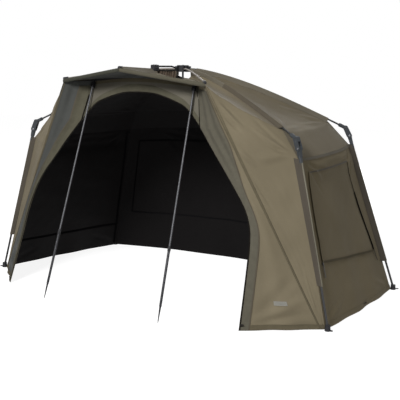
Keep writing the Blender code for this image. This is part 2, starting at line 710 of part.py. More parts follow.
def side_cloth(side, sign, owners, seam):
    """The cloth of one side: visor half, gore, wing, side roof, side wall and its window cover."""
    turn = mirrored_patch if sign < 0 else (lambda surface: surface)
    peak, centre, diagonal = seam["peak"], seam["centre"], seam["diagonal"]
    visor = patch(
        path(hole_arc(centre[0], peak[0], VISOR_HOLE_DIP)),
        path([centre[-1], peak[-1]]),
        path(centre),
        path(peak),
        roof_form(VISOR_SAG),
    )
    cloth(f"peak_visor_{side}", turn(visor), 6, 7, owners["peak"])

    rib_part, leg_part = seam["front_rib"], seam["front_leg"]
    peak_marks = np.linspace(0, GORE_TIP_MARK, len(peak))
    rib_marks = np.linspace(0, GORE_TIP_MARK, len(rib_part))
    gore_left = path([*peak, diagonal[1]], [*peak_marks, 1.0])
    gore_right = path([*rib_part, *leg_part], [*rib_marks, GORE_LEG_MARK, 1.0])
    gore = patch(
        path(hole_arc(peak[0], rib_part[0], 0.010)),
        path([diagonal[-1], leg_part[-1]]),
        gore_left,
        gore_right,
        roof_form(GORE_SAG),
    )
    cloth(f"front_gore_{side}", turn(gore), 5, 19, owners["front"])

    door = path([HEADER_END - SEAM_DROP * UP, ARCH_END, *DOOR_EDGE, DOOR_CORNER])
    wing_seam = path([diagonal[0] - WING_TOP_GAP * UP, diagonal[1]])
    under_peak = path([HEADER_END - SEAM_DROP * UP, diagonal[0] - WING_TOP_GAP * UP])
    wing = patch(
        under_peak,
        path([DOOR_CORNER, diagonal[-1]]),
        door,
        wing_seam,
        wall_form((0.45, -0.89, 0.0), 0.012, 2),
    )
    cloth(f"front_wing_{side}", turn(wing), 6, 15, owners["front"])

    front_leg, rear_leg = seam["front_leg"], seam["rear_leg"]
    side_eave = eave(front_leg[0], rear_leg[0], SIDE_EAVE_BULGE)
    front_roof, rear_roof = seam["front_roof"], seam["rear_roof"]
    roof_marks = np.append(np.linspace(0, ROOF_CORNER_MARK, len(front_roof) - 1), 1.0)
    rear_marks = np.append(np.linspace(0, ROOF_CORNER_MARK, len(rear_roof) - 1), 1.0)
    roof = patch(
        path(hole_arc(front_roof[0], rear_roof[0])),
        path(side_eave),
        path(front_roof, roof_marks),
        path(rear_roof, rear_marks),
        roof_form(SIDE_ROOF_SAG),
    )
    cloth(f"side_roof_front_{side}", turn(roof), 5, 10, owners["front"], over=(0.0, 0.5))
    cloth(f"side_roof_rear_{side}", turn(roof), 5, 10, owners["rear"], over=(0.5, 1.0))

    ground_bulge = np.array((SIDE_GROUND_BULGE, 0.0, 0.0))
    wall = patch(
        path(side_eave),
        path(eave(front_leg[-1], rear_leg[-1], ground_bulge)),
        path(front_leg),
        path(rear_leg),
        wall_form((1.0, 0.1, 0.0), -0.010, 3),
    )
    cloth(f"side_wall_{side}", turn(wall), 12, 10, owners["front"])
    cloth(
        f"side_window_{side}",
        turn(wall),
        7,
        6,
        owners["front"],
        over=SIDE_WINDOW_ACROSS,
        down=SIDE_WINDOW_DOWN,
        lift=WINDOW_LIFT,
    )
    return turn(wall)


def door_header(owner):
    """The band over the doorway, from the peak ribs down to the arch."""
    end, middle = (point - SEAM_DROP * UP for point in (HEADER_END, HEADER_MID))
    arch = np.array([*DOOR_ARCH, ARCH_END])
    header = patch(
        path([mirrored(end, -1), middle, end]),
        path([*mirrored(arch[::-1], -1), *arch[1:]]),
        path([mirrored(end, -1), mirrored(ARCH_END, -1)]),
        path([end, ARCH_END]),
    )
    cloth("door_header", header, 14, 3, owner)


def rear_cloth(owners, seam):
    """The two halves of the rear roof, the rear wall and its window cover."""
    rib_right, rib_left = seam["rear_roof"], seam["rear_roof"] * (-1.0, 1.0, 1.0)
    leg_right, leg_left = seam["rear_leg"], seam["rear_leg"] * (-1.0, 1.0, 1.0)
    bulge = np.array((0.0, REAR_EAVE_BULGE, REAR_EAVE_LIFT))
    rear_eave = path(eave(leg_right[0], leg_left[0], bulge))
    marks = np.append(np.linspace(0, ROOF_CORNER_MARK, len(rib_right) - 1), 1.0)
    roof = patch(
        path(hole_arc(rib_right[0], rib_left[0], 0.030)),
        rear_eave,
        path(rib_right, marks),
        path(rib_left, marks),
        roof_form(REAR_ROOF_SAG),
    )
    cloth("rear_roof_right", roof, 7, 10, owners["right"], over=(0.0, 0.5))
    cloth("rear_roof_left", roof, 7, 10, owners["left"], over=(0.5, 1.0))
    ground = eave(leg_right[-1], leg_left[-1], np.array((0.0, REAR_GROUND_BULGE, 0.0)))
    wall = patch(
        rear_eave,
        path(ground),
        path(leg_right),
        path(leg_left),
        wall_form((0.0, 1.0, 0.0), -0.014, 4),
    )
    cloth("rear_wall", wall, REAR_WALL_COLUMNS, REAR_WALL_ROWS, owners["right"])
    cloth(
        "rear_window",
        wall,
        REAR_WINDOW_COLUMNS[1] - REAR_WINDOW_COLUMNS[0],
        REAR_WINDOW_ROWS[1] - REAR_WINDOW_ROWS[0],
        owners["right"],
        over=[column / REAR_WALL_COLUMNS for column in REAR_WINDOW_COLUMNS],
        down=[row / REAR_WALL_ROWS for row in REAR_WINDOW_ROWS],
        lift=WINDOW_LIFT,
    )


def zip_slider(side, wall, owner):
    """A slider with a hanging pull tab on the front edge of a side window."""
    low, high = wall(ZIP_ACROSS, ZIP_DOWN), wall(ZIP_ACROSS, ZIP_TRAVEL_TOP)
    beside = wall(ZIP_ACROSS + 0.02, ZIP_DOWN)
    upward = unit(high - low)
    normal = unit(np.cross(upward, beside - low))
    normal = normal * np.sign(normal @ (low - INSIDE))
    place = low + ZIP_LIFT * normal
    travel = joint_empty(f"zip_travel_{side}", place, owner)
    travel["travel"] = [float(value) for value in high - low]
    radii = (ZIP_BODY_RADIUS, ZIP_BODY_RADIUS * 0.8)
    body = link(place, place + upward * ZIP_BODY_LENGTH, radii, normal, ZIP_BODY_THICKNESS)
    tab_top = place + normal * (ZIP_BODY_THICKNESS / 2)
    radii = (ZIP_TAB_RADIUS, ZIP_TAB_RADIUS)
    tab = link(tab_top, tab_top - upward * ZIP_TAB_LENGTH, radii, normal, ZIP_TAB_THICKNESS)
    piece(f"zip_slider_{side}", body, ZIP_METAL, travel, add=[tab])


def build():
    root = joint_empty("shelter", (0.0, 0.0, 0.0))
    hub(root)
    centre = joint_empty("centre_rib_hinge", rib_pivot(CENTRE_TIP), root)
    centre_rib(centre)
    seam = seams()
    rear_owners = {}
    for side, sign in SIDES:
        owners = {}
        for name, end in (("front", FRONT_ELBOW), ("rear", REAR_ELBOW), ("peak", PEAK_TIP)):
            place = rib_pivot(mirrored(end, sign))
            owners[name] = joint_empty(f"{name}_rib_hinge_{side}", place, root)
        tip = mirrored(PEAK_TIP, sign)
        line = rib_line(tip, PEAK_BOW, 4)
        rib(f"peak_rib_{side}", line, owners["peak"], across(tip), RIB_METAL)
        tip_cap(f"peak_tip_cap_{side}", tip, unit(line[-1] - line[-2]), owners["peak"])
        for name, end, pin, foot in (
            ("front", FRONT_ELBOW, FRONT_PIN, FRONT_FOOT),
            ("rear", REAR_ELBOW, REAR_PIN, REAR_FOOT),
        ):
            end, pin, foot = (mirrored(point, sign) for point in (end, pin, foot))
            line = rib_line(end, MAIN_BOW)
            rib(f"{name}_rib_{side}", line, owners[name], across(end), RIB_METAL)
            hinge = joint_empty(f"{name}_leg_hinge_{side}", pin, owners[name])
            knuckle(f"{name}_{side}", line, pin, foot, owners[name], hinge)
        storm_pole(side, sign, root)
        wall = side_cloth(side, sign, owners, seam)
        zip_slider(side, wall, owners["front"])
        rear_owners[side] = owners["rear"]
    door_header(centre)
    rear_cloth(rear_owners, seam)


build()
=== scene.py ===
"""Fishing brolly shelter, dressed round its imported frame, in metres.

+X is the right side, -Y the open front and +Z up. Every sheet of cloth follows the seams that the
solids follow, and every piece rides on the body that carries it.
"""

import json
import math

import bmesh
import bpy
import numpy as np
from mathutils import Matrix, Vector
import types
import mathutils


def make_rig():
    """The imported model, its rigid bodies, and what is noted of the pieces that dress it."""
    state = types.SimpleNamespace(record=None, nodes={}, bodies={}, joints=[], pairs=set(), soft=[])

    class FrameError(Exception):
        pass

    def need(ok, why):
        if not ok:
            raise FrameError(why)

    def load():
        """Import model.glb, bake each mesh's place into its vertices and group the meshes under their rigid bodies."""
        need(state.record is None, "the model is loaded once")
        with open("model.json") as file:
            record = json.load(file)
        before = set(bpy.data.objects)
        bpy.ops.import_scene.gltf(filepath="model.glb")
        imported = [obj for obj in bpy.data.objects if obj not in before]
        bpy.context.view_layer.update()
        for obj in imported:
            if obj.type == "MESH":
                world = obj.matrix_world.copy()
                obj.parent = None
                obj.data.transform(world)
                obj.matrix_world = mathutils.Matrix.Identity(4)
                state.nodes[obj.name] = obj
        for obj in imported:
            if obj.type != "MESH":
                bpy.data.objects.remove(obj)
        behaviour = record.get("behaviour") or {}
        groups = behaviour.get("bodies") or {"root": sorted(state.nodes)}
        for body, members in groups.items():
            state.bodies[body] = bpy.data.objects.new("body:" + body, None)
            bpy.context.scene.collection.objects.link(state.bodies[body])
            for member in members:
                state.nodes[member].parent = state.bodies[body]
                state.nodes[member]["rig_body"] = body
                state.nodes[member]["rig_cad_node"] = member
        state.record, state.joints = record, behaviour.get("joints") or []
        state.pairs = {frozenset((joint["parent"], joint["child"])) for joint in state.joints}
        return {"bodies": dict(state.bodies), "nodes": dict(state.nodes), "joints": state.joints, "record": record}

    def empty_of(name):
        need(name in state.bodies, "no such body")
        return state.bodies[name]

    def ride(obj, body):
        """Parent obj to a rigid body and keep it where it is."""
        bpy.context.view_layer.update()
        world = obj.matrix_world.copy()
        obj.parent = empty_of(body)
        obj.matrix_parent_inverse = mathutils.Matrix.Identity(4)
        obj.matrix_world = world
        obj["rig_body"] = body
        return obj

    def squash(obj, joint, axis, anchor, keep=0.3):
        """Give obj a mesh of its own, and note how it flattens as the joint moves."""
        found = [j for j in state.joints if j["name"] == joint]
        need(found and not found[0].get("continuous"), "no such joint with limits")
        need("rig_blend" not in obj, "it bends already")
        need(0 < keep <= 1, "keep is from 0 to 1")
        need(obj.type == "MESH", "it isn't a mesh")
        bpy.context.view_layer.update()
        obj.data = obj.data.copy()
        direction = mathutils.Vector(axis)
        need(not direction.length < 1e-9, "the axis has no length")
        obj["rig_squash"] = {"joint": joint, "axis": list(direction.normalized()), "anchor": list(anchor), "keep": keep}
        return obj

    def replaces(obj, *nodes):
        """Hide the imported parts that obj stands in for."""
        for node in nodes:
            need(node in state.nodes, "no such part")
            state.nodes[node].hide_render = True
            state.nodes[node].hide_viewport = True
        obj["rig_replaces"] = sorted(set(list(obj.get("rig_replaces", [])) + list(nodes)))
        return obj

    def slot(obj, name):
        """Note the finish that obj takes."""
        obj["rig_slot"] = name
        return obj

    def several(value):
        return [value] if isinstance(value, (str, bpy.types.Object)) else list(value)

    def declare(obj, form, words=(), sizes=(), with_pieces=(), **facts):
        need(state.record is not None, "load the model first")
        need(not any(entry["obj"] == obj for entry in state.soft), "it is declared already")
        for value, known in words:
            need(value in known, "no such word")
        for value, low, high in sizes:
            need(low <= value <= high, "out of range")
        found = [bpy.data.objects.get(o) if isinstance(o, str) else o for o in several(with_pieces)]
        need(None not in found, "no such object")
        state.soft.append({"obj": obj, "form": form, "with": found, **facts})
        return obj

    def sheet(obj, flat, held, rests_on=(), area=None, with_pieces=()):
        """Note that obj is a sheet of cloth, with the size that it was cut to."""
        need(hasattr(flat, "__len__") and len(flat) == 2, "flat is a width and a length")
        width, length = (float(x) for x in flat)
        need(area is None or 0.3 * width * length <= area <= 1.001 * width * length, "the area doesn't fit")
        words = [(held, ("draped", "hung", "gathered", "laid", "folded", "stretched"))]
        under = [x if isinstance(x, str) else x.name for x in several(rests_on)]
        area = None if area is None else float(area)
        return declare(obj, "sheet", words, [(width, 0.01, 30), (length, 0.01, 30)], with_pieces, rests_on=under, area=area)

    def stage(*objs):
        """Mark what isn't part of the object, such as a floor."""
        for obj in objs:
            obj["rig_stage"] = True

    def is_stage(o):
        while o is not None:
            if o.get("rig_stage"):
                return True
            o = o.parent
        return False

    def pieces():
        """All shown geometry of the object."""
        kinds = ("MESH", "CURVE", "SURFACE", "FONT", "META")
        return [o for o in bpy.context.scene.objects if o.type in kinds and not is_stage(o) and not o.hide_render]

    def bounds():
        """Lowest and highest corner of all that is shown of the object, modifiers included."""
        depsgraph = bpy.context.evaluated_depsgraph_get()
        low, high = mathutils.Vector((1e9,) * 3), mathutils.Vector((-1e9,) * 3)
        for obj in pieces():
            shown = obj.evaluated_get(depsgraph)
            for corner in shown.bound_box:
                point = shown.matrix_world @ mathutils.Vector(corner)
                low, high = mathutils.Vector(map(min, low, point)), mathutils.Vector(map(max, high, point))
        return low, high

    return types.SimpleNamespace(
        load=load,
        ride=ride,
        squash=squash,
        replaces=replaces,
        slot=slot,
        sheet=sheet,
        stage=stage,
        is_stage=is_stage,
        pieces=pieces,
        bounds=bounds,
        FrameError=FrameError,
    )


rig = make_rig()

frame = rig.load()
CAD_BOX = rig.bounds()

# Frame, right-hand side, as in the part's source
HUB = np.array((0.0, -0.035, 1.412))
FRONT_ELBOW = np.array((1.004, -0.341, 1.042))
REAR_ELBOW = np.array((0.88, 0.535, 1.052))
FRONT_PIN = np.array((1.024, -0.347, 0.99))
REAR_PIN = np.array((0.902, 0.548, 1.002))
FRONT_FOOT = np.array((1.274, -0.407, 0.0))
REAR_FOOT = np.array((1.184, 0.714, 0.0))
PEAK_TIP = np.array((0.538, -0.57, 1.344))
CENTRE_TIP = np.array((0.0, -0.678, 1.421))
MAIN_BOW = 0.045
PEAK_BOW = 0.012
PIVOT_RADIUS = 0.045
RIB_RADIUS = 0.0056
LEG_RADIUS = 0.0068
STORM_TOP = np.array((0.388, -0.466, 1.3))
STORM_FOOT = np.array((0.441, -0.864, 0.0008))
STORM_UPPER_RADIUS = 0.0055
STORM_LOWER_RADIUS = 0.0075
STORM_UPPER_END = 1.01
STORM_LOWER_START = 0.952
STORM_SPIKE_LENGTH = 0.095
CHEEK_WIDTH = 0.027
CENTRE_ARM_END = 0.27
CENTRE_ARM_RISE = 0.016
CENTRE_BLOCK_LENGTH = 0.052
CENTRE_POLE_DROP = 0.02

# Seams of the cloth, as in the part's source
WING_TOP_GAP = 0.005
HEM_HEIGHT = 0.005
SEAM_DROP = 0.0135
HOLE_RADIUS = 0.085
HOLE_DROP = 0.026
HOLE_DROP_REACH = 0.17
VISOR_HOLE_DROP = 0.058
VISOR_HOLE_DIP = 0.006
PEAK_SEAM_BOW = 0.01
CENTRE_SEAM_RISE = (0.245, 0.29)
CUTOUT_ON_RIB = 0.125
CUTOUT_ON_LEG = 0.056
LEG_SEAM_INSET = 0.021
SEAM_INSET_AT_GROUND = 0.022
HEADER_END = np.array((0.402, -0.437, 1.345))
HEADER_MID = np.array((0.0, -0.485, 1.372))
ARCH_END = np.array((0.452, -0.491, 1.085))
DOOR_CORNER = np.array((0.888, -0.721, HEM_HEIGHT))
DOOR_ARCH = ((0.0, -0.48, 1.27), (0.13, -0.48, 1.262), (0.281, -0.483, 1.22), (0.36, -0.484, 1.18))
DOOR_EDGE = (
    (0.565, -0.513, 0.95), (0.646, -0.523, 0.85), (0.727, -0.535, 0.75), (0.796, -0.542, 0.65),
    (0.837, -0.556, 0.55), (0.855, -0.582, 0.45), (0.863, -0.61, 0.35), (0.877, -0.673, 0.15),
)
GORE_TIP_MARK = 0.42
GORE_LEG_MARK = 0.54
ROOF_CORNER_MARK = 0.86
SIDE_EAVE_BULGE = np.array((0.03, 0.005, -0.008))
REAR_EAVE_BULGE = np.array((0.0, 0.195, 0.03))
EAVE_POWER = 2.6
SIDE_ROOF_SAG = 0.03
REAR_ROOF_SAG = 0.035
GORE_SAG = 0.016
VISOR_SAG = 0.008
SIDE_GROUND_BULGE = np.array((0.02, 0.0, 0.0))
REAR_GROUND_BULGE = np.array((0.0, 0.158, 0.0))
REAR_WINDOW_ACROSS = (1 / 22, 21 / 22)
REAR_WINDOW_DOWN = (0.1, 0.7)

# Cloth as it is drawn here, with its thicknesses first
CLOTH = 0.0012
THIN = 0.001
STOUT = 0.0014
INNER = 0.0008
SLEEVE_LIFT = 0.0016
CREASE_DEPTH = 1.55
CREASE_SPREAD = 1.5
CELL = 0.01  # of the meshes
SAMPLES = 160
CURVE_STEPS = 14
WINDOW = ((0.087, 0.092), (0.748, 0.088), (0.868, 0.703), (0.088, 0.625))  # corners on the wall
REAR_ZIP_BEND = (0.789, 0.297)
WINDOW_LIFT = 0.005
VISOR_CURL = (  # the rolled hem, out from the sheet's edge and up from it
    (-0.005, 0.012), (0.001, 0.0118), (0.0052, 0.008), (0.0066, 0.0), (0.005, -0.008), (0.0, -0.0118),
)
INNER_LIFT = -0.0028
# Strips along an edge of a sheet: from, to, and lift off the sheet
ZIP_BAND = (0.0, 0.0085, 0.004)
EAVE_BAND = (0.001, 0.017, 0.0042)
HEM_BAND = (0.0, 0.028, 0.0022)
RIB_SLEEVE_ROWS = 70
RIB_SLEEVE_RADIUS = 0.0084
# The front rib's dark strip is painted shade of the ridge beside its pocket.
RIB_PAINTED_SHADE = (slice(26, None), slice(0, 9))  # the rows and columns of the front rib's pocket that it covers
# A leg pocket's pale strip is a painted highlight over the pole's rounded top.
LEG_HIGHLIGHT_COLUMNS = slice(7, 15)  # the columns of a leg's pocket that it covers
LEG_SLEEVE_END = {"front": 0.745, "rear": 0.8}
FLANGE_WIDTH = 0.058  # of the doorway's edging at the floor
FLANGE_GAP = 0.022  # between the upper part of the right edging and the seam beside it
FLANGE_SHADED_WIDTH = 0.08  # of the upper part of the left edging
FLANGE_NARROWS = (0.22, 0.56)  # where on the wing's height the edging narrows
DOOR_LIFTS = (0.0022, 0.0036)  # of the edging and of the seam on it
WINDOW_TAPE_LIFT = 0.0092
PEG_LOOP = (0.01, 0.012, 0.008)  # how far it stands out, its drop and half its width
PLEATED_RUN = (0.092, 0.26)  # from the hub's axis, along the bare arm
PLEATED_HEIGHT = 0.05
PLEATS = 7
PLEAT_DEPTH = 0.0062

UP = np.array((0.0, 0.0, 1.0))
RIGHT = np.array((1.0, 0.0, 0.0))
INSIDE = np.array((0.0, 0.1, 0.5))
SIDES = (("right", 1.0), ("left", -1.0))


# ---- lines and surfaces


def unit(vector):
    return vector / np.maximum(np.linalg.norm(vector, axis=-1, keepdims=True), 1e-12)


def mirrored(point, sign):
    return np.asarray(point) * (sign, 1.0, 1.0)


def outward(point):
    """Level unit vector from the hub's axis towards a point."""
    return unit((point - HUB) * (1.0, 1.0, 0.0))


def across(point):
    """Level unit vector along the hinge axis of the rib that ends at a point."""
    return np.cross(UP, outward(point))


def off_axis(points):
    """How far points lie from the hub's axis."""
    return np.linalg.norm((points - HUB)[..., :2], axis=-1)


def rib_pivot(end):
    return HUB + PIVOT_RADIUS * outward(end)


def rib_line(end, bow, segments):
    t = np.linspace(0, 1, segments + 1)[:, None]
    line = rib_pivot(end) * (1 - t) + end * t
    line[:, 2] += bow * np.sin(math.pi * t[:, 0] ** 0.75)
    return line


def path(points, marks=None):
    """A line through points, as a function of how far along it a place is, from 0 to 1."""
    points = np.array(points, float)
    if marks is None:
        steps = np.linalg.norm(np.diff(points, axis=0), axis=1)
        marks = np.concatenate(([0.0], np.cumsum(steps))) / steps.sum()
    return lambda t: np.stack([np.interp(t, marks, points[:, k]) for k in range(3)], axis=-1)


def smooth(points, steps=CURVE_STEPS):
    """A Catmull-Rom curve through points, as many short lines."""
    points = np.array(points, float)
    padded = np.vstack([2 * points[0] - points[1], points, 2 * points[-1] - points[-2]])
    t = np.linspace(0, 1, steps, endpoint=False)[:, None]
    made = []
    for a, b, c, d in zip(padded, padded[1:], padded[2:], padded[3:]):
        bend = 2 * a - 5 * b + 4 * c - d
        made.append(0.5 * (2 * b + (c - a) * t + bend * t**2 + (3 * b - a - 3 * c + d) * t**3))
    return np.vstack([*made, points[-1:]])


def patch(*edges, form=None):
    """The surface between a top, bottom, left and right edge, as points or paths, with its form added."""
    top, bottom, left, right = (edge if callable(edge) else path(edge) for edge in edges)

    def at(u, v):
        u, v = np.broadcast_arrays(np.asarray(u, float), np.asarray(v, float))
        cu, cv = u[..., None], v[..., None]
        level = top(u) * (1 - cv) + bottom(u) * cv
        upright = left(v) * (1 - cu) + right(v) * cu
        upper = top(0.0) * (1 - cu) + top(1.0) * cu
        lower = bottom(0.0) * (1 - cu) + bottom(1.0) * cu
        points = level + upright - (upper * (1 - cv) + lower * cv)
        return points if form is None else points + form(u, v)

    return at


def roof_form(sag):
    def form(u, v):
        depth = sag * 4 * u * (1 - u) * np.sin(math.pi * v)
        return np.stack([0 * u, 0 * u, -depth], axis=-1)

    return form


def wall_form(direction, depth, folds):
    def form(u, v):
        slack = depth * np.sin(math.pi * v) * 4 * u * (1 - u)
        fold = 0.006 * np.sin(folds * math.tau * u) * v**2 * np.sin(math.pi * u)
        return (slack + fold)[..., None] * np.array(direction)

    return form


def seam_under(end, bow, stop):
    """Points of the seam under a rib, from the cut-out round the hub to a fraction of the rib."""
    line = path(rib_line(end, bow, SAMPLES))(np.linspace(0, 1, SAMPLES) * stop)
    radius = off_axis(line)
    near = np.clip(1 - (radius - HOLE_RADIUS) / HOLE_DROP_REACH, 0, 1)
    line[:, 2] -= SEAM_DROP + HOLE_DROP * near**2
    return line[radius >= HOLE_RADIUS]


def visor_seams():
    """Points of the seams along the visor: under its outer pole, and straight under the peak rib."""
    hole = HUB - VISOR_HOLE_DROP * UP
    reach = off_axis(CENTRE_TIP)
    radius = np.linspace(HOLE_RADIUS, reach, SAMPLES)
    block_end = CENTRE_ARM_END + CENTRE_BLOCK_LENGTH
    pole_end = HUB[2] + CENTRE_ARM_RISE - CENTRE_POLE_DROP
    under_pole = np.interp(radius, (block_end, reach), (pole_end, CENTRE_TIP[2])) - SEAM_DROP
    rise = np.clip(np.interp(radius, CENTRE_SEAM_RISE, (0.0, 1.0)), 0, 1)
    centre = hole + radius[:, None] * outward(CENTRE_TIP)
    centre[:, 2] += (under_pole - hole[2]) * rise
    t = np.linspace(0, 1, SAMPLES)[:, None]
    peak = (hole + HOLE_RADIUS * outward(PEAK_TIP)) * (1 - t) + (PEAK_TIP - SEAM_DROP * UP) * t
    peak[:, 2] += PEAK_SEAM_BOW * np.sin(math.pi * t[:, 0])
    return centre, peak


def hole_arc(first, second, dip=0.018):
    """The edge of the opening round the hub, from one seam to the next."""
    start, stop = first - HUB, second - HUB
    angles = math.atan2(start[1], start[0]), math.atan2(stop[1], stop[0])
    turn = (angles[1] - angles[0] + math.pi) % math.tau - math.pi
    t = np.linspace(0, 1, 49)
    angle = angles[0] + turn * t
    radius = off_axis(first) * (1 - t) + off_axis(second) * t
    height = start[2] * (1 - t) + stop[2] * t - dip * np.sin(math.pi * t)
    return HUB + np.stack([radius * np.cos(angle), radius * np.sin(angle), height], axis=-1)


def leg_seam(pin, foot):
    down = unit(foot - pin)
    inset = LEG_SEAM_INSET * outward(foot)
    return np.array([pin + down * CUTOUT_ON_LEG - inset, foot + down * HEM_HEIGHT / down[2] - inset])


def eave(first, second, bulge):
    t = np.linspace(0, 1, 129)[:, None]
    return first * (1 - t) + second * t + bulge * (1 - np.abs(2 * t - 1) ** EAVE_POWER)


def seams():
    """The lines that the cloth on the right-hand side is sewn along, as named arrays of points."""
    found = {}
    for name, end, pin, foot in (
        ("front", FRONT_ELBOW, FRONT_PIN, FRONT_FOOT),
        ("rear", REAR_ELBOW, REAR_PIN, REAR_FOOT),
    ):
        length = np.linalg.norm(end - rib_pivot(end))
        rib_seam = seam_under(end, MAIN_BOW, 1 - CUTOUT_ON_RIB / length)
        found[name + "_rib"] = rib_seam
        found[name + "_leg"] = leg_seam(pin, foot)
        found[name + "_roof"] = np.vstack([rib_seam, found[name + "_leg"][0]])
    found["centre"], found["peak"] = visor_seams()
    ground = found["front_leg"][1]
    along = unit((DOOR_CORNER - ground) * (1, 1, 0))
    found["diagonal"] = np.array([PEAK_TIP - SEAM_DROP * UP, ground + along * SEAM_INSET_AT_GROUND])
    return found


def roof_edge(seam):
    """A roof's edge along a rib and across the cut-out at its end, as a path."""
    return path(seam, np.append(np.linspace(0, ROOF_CORNER_MARK, len(seam) - 1), 1.0))


SEAM = seams()
DOOR_SIDE = smooth([*DOOR_ARCH[-2:], ARCH_END, *DOOR_EDGE, DOOR_CORNER])[2 * CURVE_STEPS :]
ARCH_HALF = smooth([*DOOR_ARCH, ARCH_END, DOOR_EDGE[0]])[: 4 * CURVE_STEPS + 1]


def facing(surface, u, v):
    """Unit normal of a surface, on the side that its u and v directions give."""
    e = 0.004
    along = surface(np.clip(u + e, 0, 1), v) - surface(np.clip(u - e, 0, 1), v)
    down = surface(u, np.clip(v + e, 0, 1)) - surface(u, np.clip(v - e, 0, 1))
    return unit(np.cross(along, down))


class Sheet:
    """A sheet's surface with its relief raised along the normal that points out of the shelter."""

    def __init__(self, surface, relief, turned=False):
        self.surface, self.relief, self.turned = surface, relief, turned
        normal = facing(surface, np.array(0.5), np.array(0.5))
        self.side = 1.0 if normal @ (surface(0.5, 0.5) - INSIDE) > 0 else -1.0
        t, half = np.linspace(0, 1, 41), np.full(41, 0.5)
        middles = surface(t, half), surface(half, t)
        self.width, self.height = (np.linalg.norm(np.diff(line, axis=0), axis=1).sum() for line in middles)

    def at(self, u, v, lift=0.0):
        u, v = np.broadcast_arrays(np.asarray(u, float), np.asarray(v, float))
        normal = self.side * facing(self.surface, u, v)
        raised = self.relief(u * self.width, v * self.height, u, v) + lift
        points = self.surface(u, v) + raised[..., None] * normal
        return points * (-1.0, 1.0, 1.0) if self.turned else points

    def grid(self, over=(0.0, 1.0), down=(0.0, 1.0), lift=0.0, cell=CELL):
        (left, right), (top, bottom) = over, down
        return self.quad(((left, top), (right, top), (right, bottom), (left, bottom)), lift, cell)

    def quad(self, corners, lift, cell=CELL):
        """A grid over the patch between four (u, v) corners, clockwise from the upper left."""
        a, b, c, d = (np.array(corner) for corner in corners)
        columns = max(4, round(self.width * np.linalg.norm(b - a) / cell))
        rows = max(4, round(self.height * np.linalg.norm(d - a) / cell))
        s = np.linspace(0, 1, columns + 1)[None, :, None]
        t = np.linspace(0, 1, rows + 1)[:, None, None]
        marks = (a * (1 - s) + b * s) * (1 - t) + (d * (1 - s) + c * s) * t
        return self.at(marks[..., 0], marks[..., 1], lift)

    def ribbon(self, marks, width, lift):
        """A tape along a straight run between two (u, v) marks, raised off the sheet."""
        first, last = np.array(marks[0]), np.array(marks[1])
        size = np.array((self.width, self.height))
        length = np.linalg.norm((last - first) * size)
        t = np.linspace(0, 1, max(4, round(length / CELL)) + 1)[:, None]
        aside = np.array((-(last - first)[1] * self.height, (last - first)[0] * self.width))
        aside = aside / np.linalg.norm(aside) / size
        steps = np.linspace(-0.5, 0.5, 4) * width
        marks = (first + (last - first) * t)[:, None, :] + aside * steps[None, :, None]
        return self.at(marks[..., 0], marks[..., 1], lift)

    def span(self, v):
        """How wide the sheet is at v."""
        return np.linalg.norm(self.surface(0 * v + 1.0, v) - self.surface(0 * v, v), axis=-1)

    def band(self, edge, near, far, lift, start=0.0, stop=1.0, steps=None):
        """A strip along an edge, between two distances from it, raised off the sheet."""
        upright, far_side = edge in ("left", "right"), edge in ("right", "bottom")
        length = self.height if upright else self.width
        t = np.linspace(start, stop, (steps or max(8, round(length * (stop - start) / CELL))) + 1)

        def marks(inward, run):
            inward = 1 - inward if far_side else inward
            return (inward, run) if upright else (run, inward)

        inner = 0.03
        step = self.surface(*marks(0 * t + inner, t)) - self.surface(*marks(0 * t, t))
        rate = inner / np.maximum(np.linalg.norm(step, axis=-1), 1e-6)
        apart = np.linspace(near, far, 5) * rate[:, None]
        return self.at(*marks(apart, np.broadcast_to(t[:, None], apart.shape)), lift)


# ---- relief of the cloth


def ripple(seed, scale, count=9):
    """Smooth repeatable unevenness of about one up and one down, in waves about scale across."""
    draw = np.random.default_rng(seed)
    angle = draw.uniform(0, math.tau, count)
    rate = math.tau / (scale * draw.uniform(0.65, 1.7, count))
    phase = draw.uniform(0, math.tau, count)

    def at(x, y):
        waves = zip(angle, rate, phase)
        total = sum(np.sin(r * (x * math.cos(a) + y * math.sin(a)) + p) for a, r, p in waves)
        return total / math.sqrt(count)

    return at


def crease(x, y, start, stop, width, depth):
    """One tension fold from start to stop, in metres on the sheet, fading out at both ends."""
    line = np.array(stop) - start
    along = ((x - start[0]) * line[0] + (y - start[1]) * line[1]) / (line @ line)
    held = np.clip(along, 0, 1)
    apart = np.hypot(x - start[0] - held * line[0], y - start[1] - held * line[1])
    apart = apart / (width * CREASE_SPREAD)
    shape = np.exp(-(apart**2)) - 0.3 * np.exp(-((apart - 1.9) ** 2))
    return CREASE_DEPTH * depth * shape * np.sin(math.pi * np.clip(along, 0.02, 0.98))


def fan(x, y, corner, turns, length, width, depth):
    """Folds that spread from a corner, in the directions turns, in degrees."""
    total = 0 * x
    for k, turn in enumerate(turns):
        a = math.radians(turn)
        reach = length * (0.75 + 0.25 * math.cos(2.4 * k))
        stop = (corner[0] + reach * math.cos(a), corner[1] + reach * math.sin(a))
        total = total + crease(x, y, corner, stop, width, depth if k % 2 == 0 else -depth * 0.8)
    return total


def relief(power, swells, creases=(), fans=(), more=None):
    """A sheet's relief, which fades out at its sewn edges. swells are (height, seed, scale)."""
    waves = [(height, ripple(seed, scale)) for height, seed, scale in swells]

    def at(x, y, u, v):
        total = sum(height * wave(x, y) for height, wave in waves)
        total = total + sum(crease(x, y, *fold) for fold in creases)
        total = total + sum(fan(x, y, *folds) for folds in fans)
        if more:
            total = total + more(u, v)
        return total * np.clip(16 * u * (1 - u) * v * (1 - v), 0, 1) ** power

    return at


# ---- materials


def new_material(name, colour, roughness, **constant):
    material = bpy.data.materials.new(name)
    material.use_nodes = True
    shader = material.node_tree.nodes["Principled BSDF"]
    shader.inputs["Base Color"].default_value = (*colour, 1.0)
    shader.inputs["Roughness"].default_value = roughness
    for socket, value in constant.items():
        shader.inputs[socket.replace("_", " ")].default_value = value
    return material, material.node_tree, shader


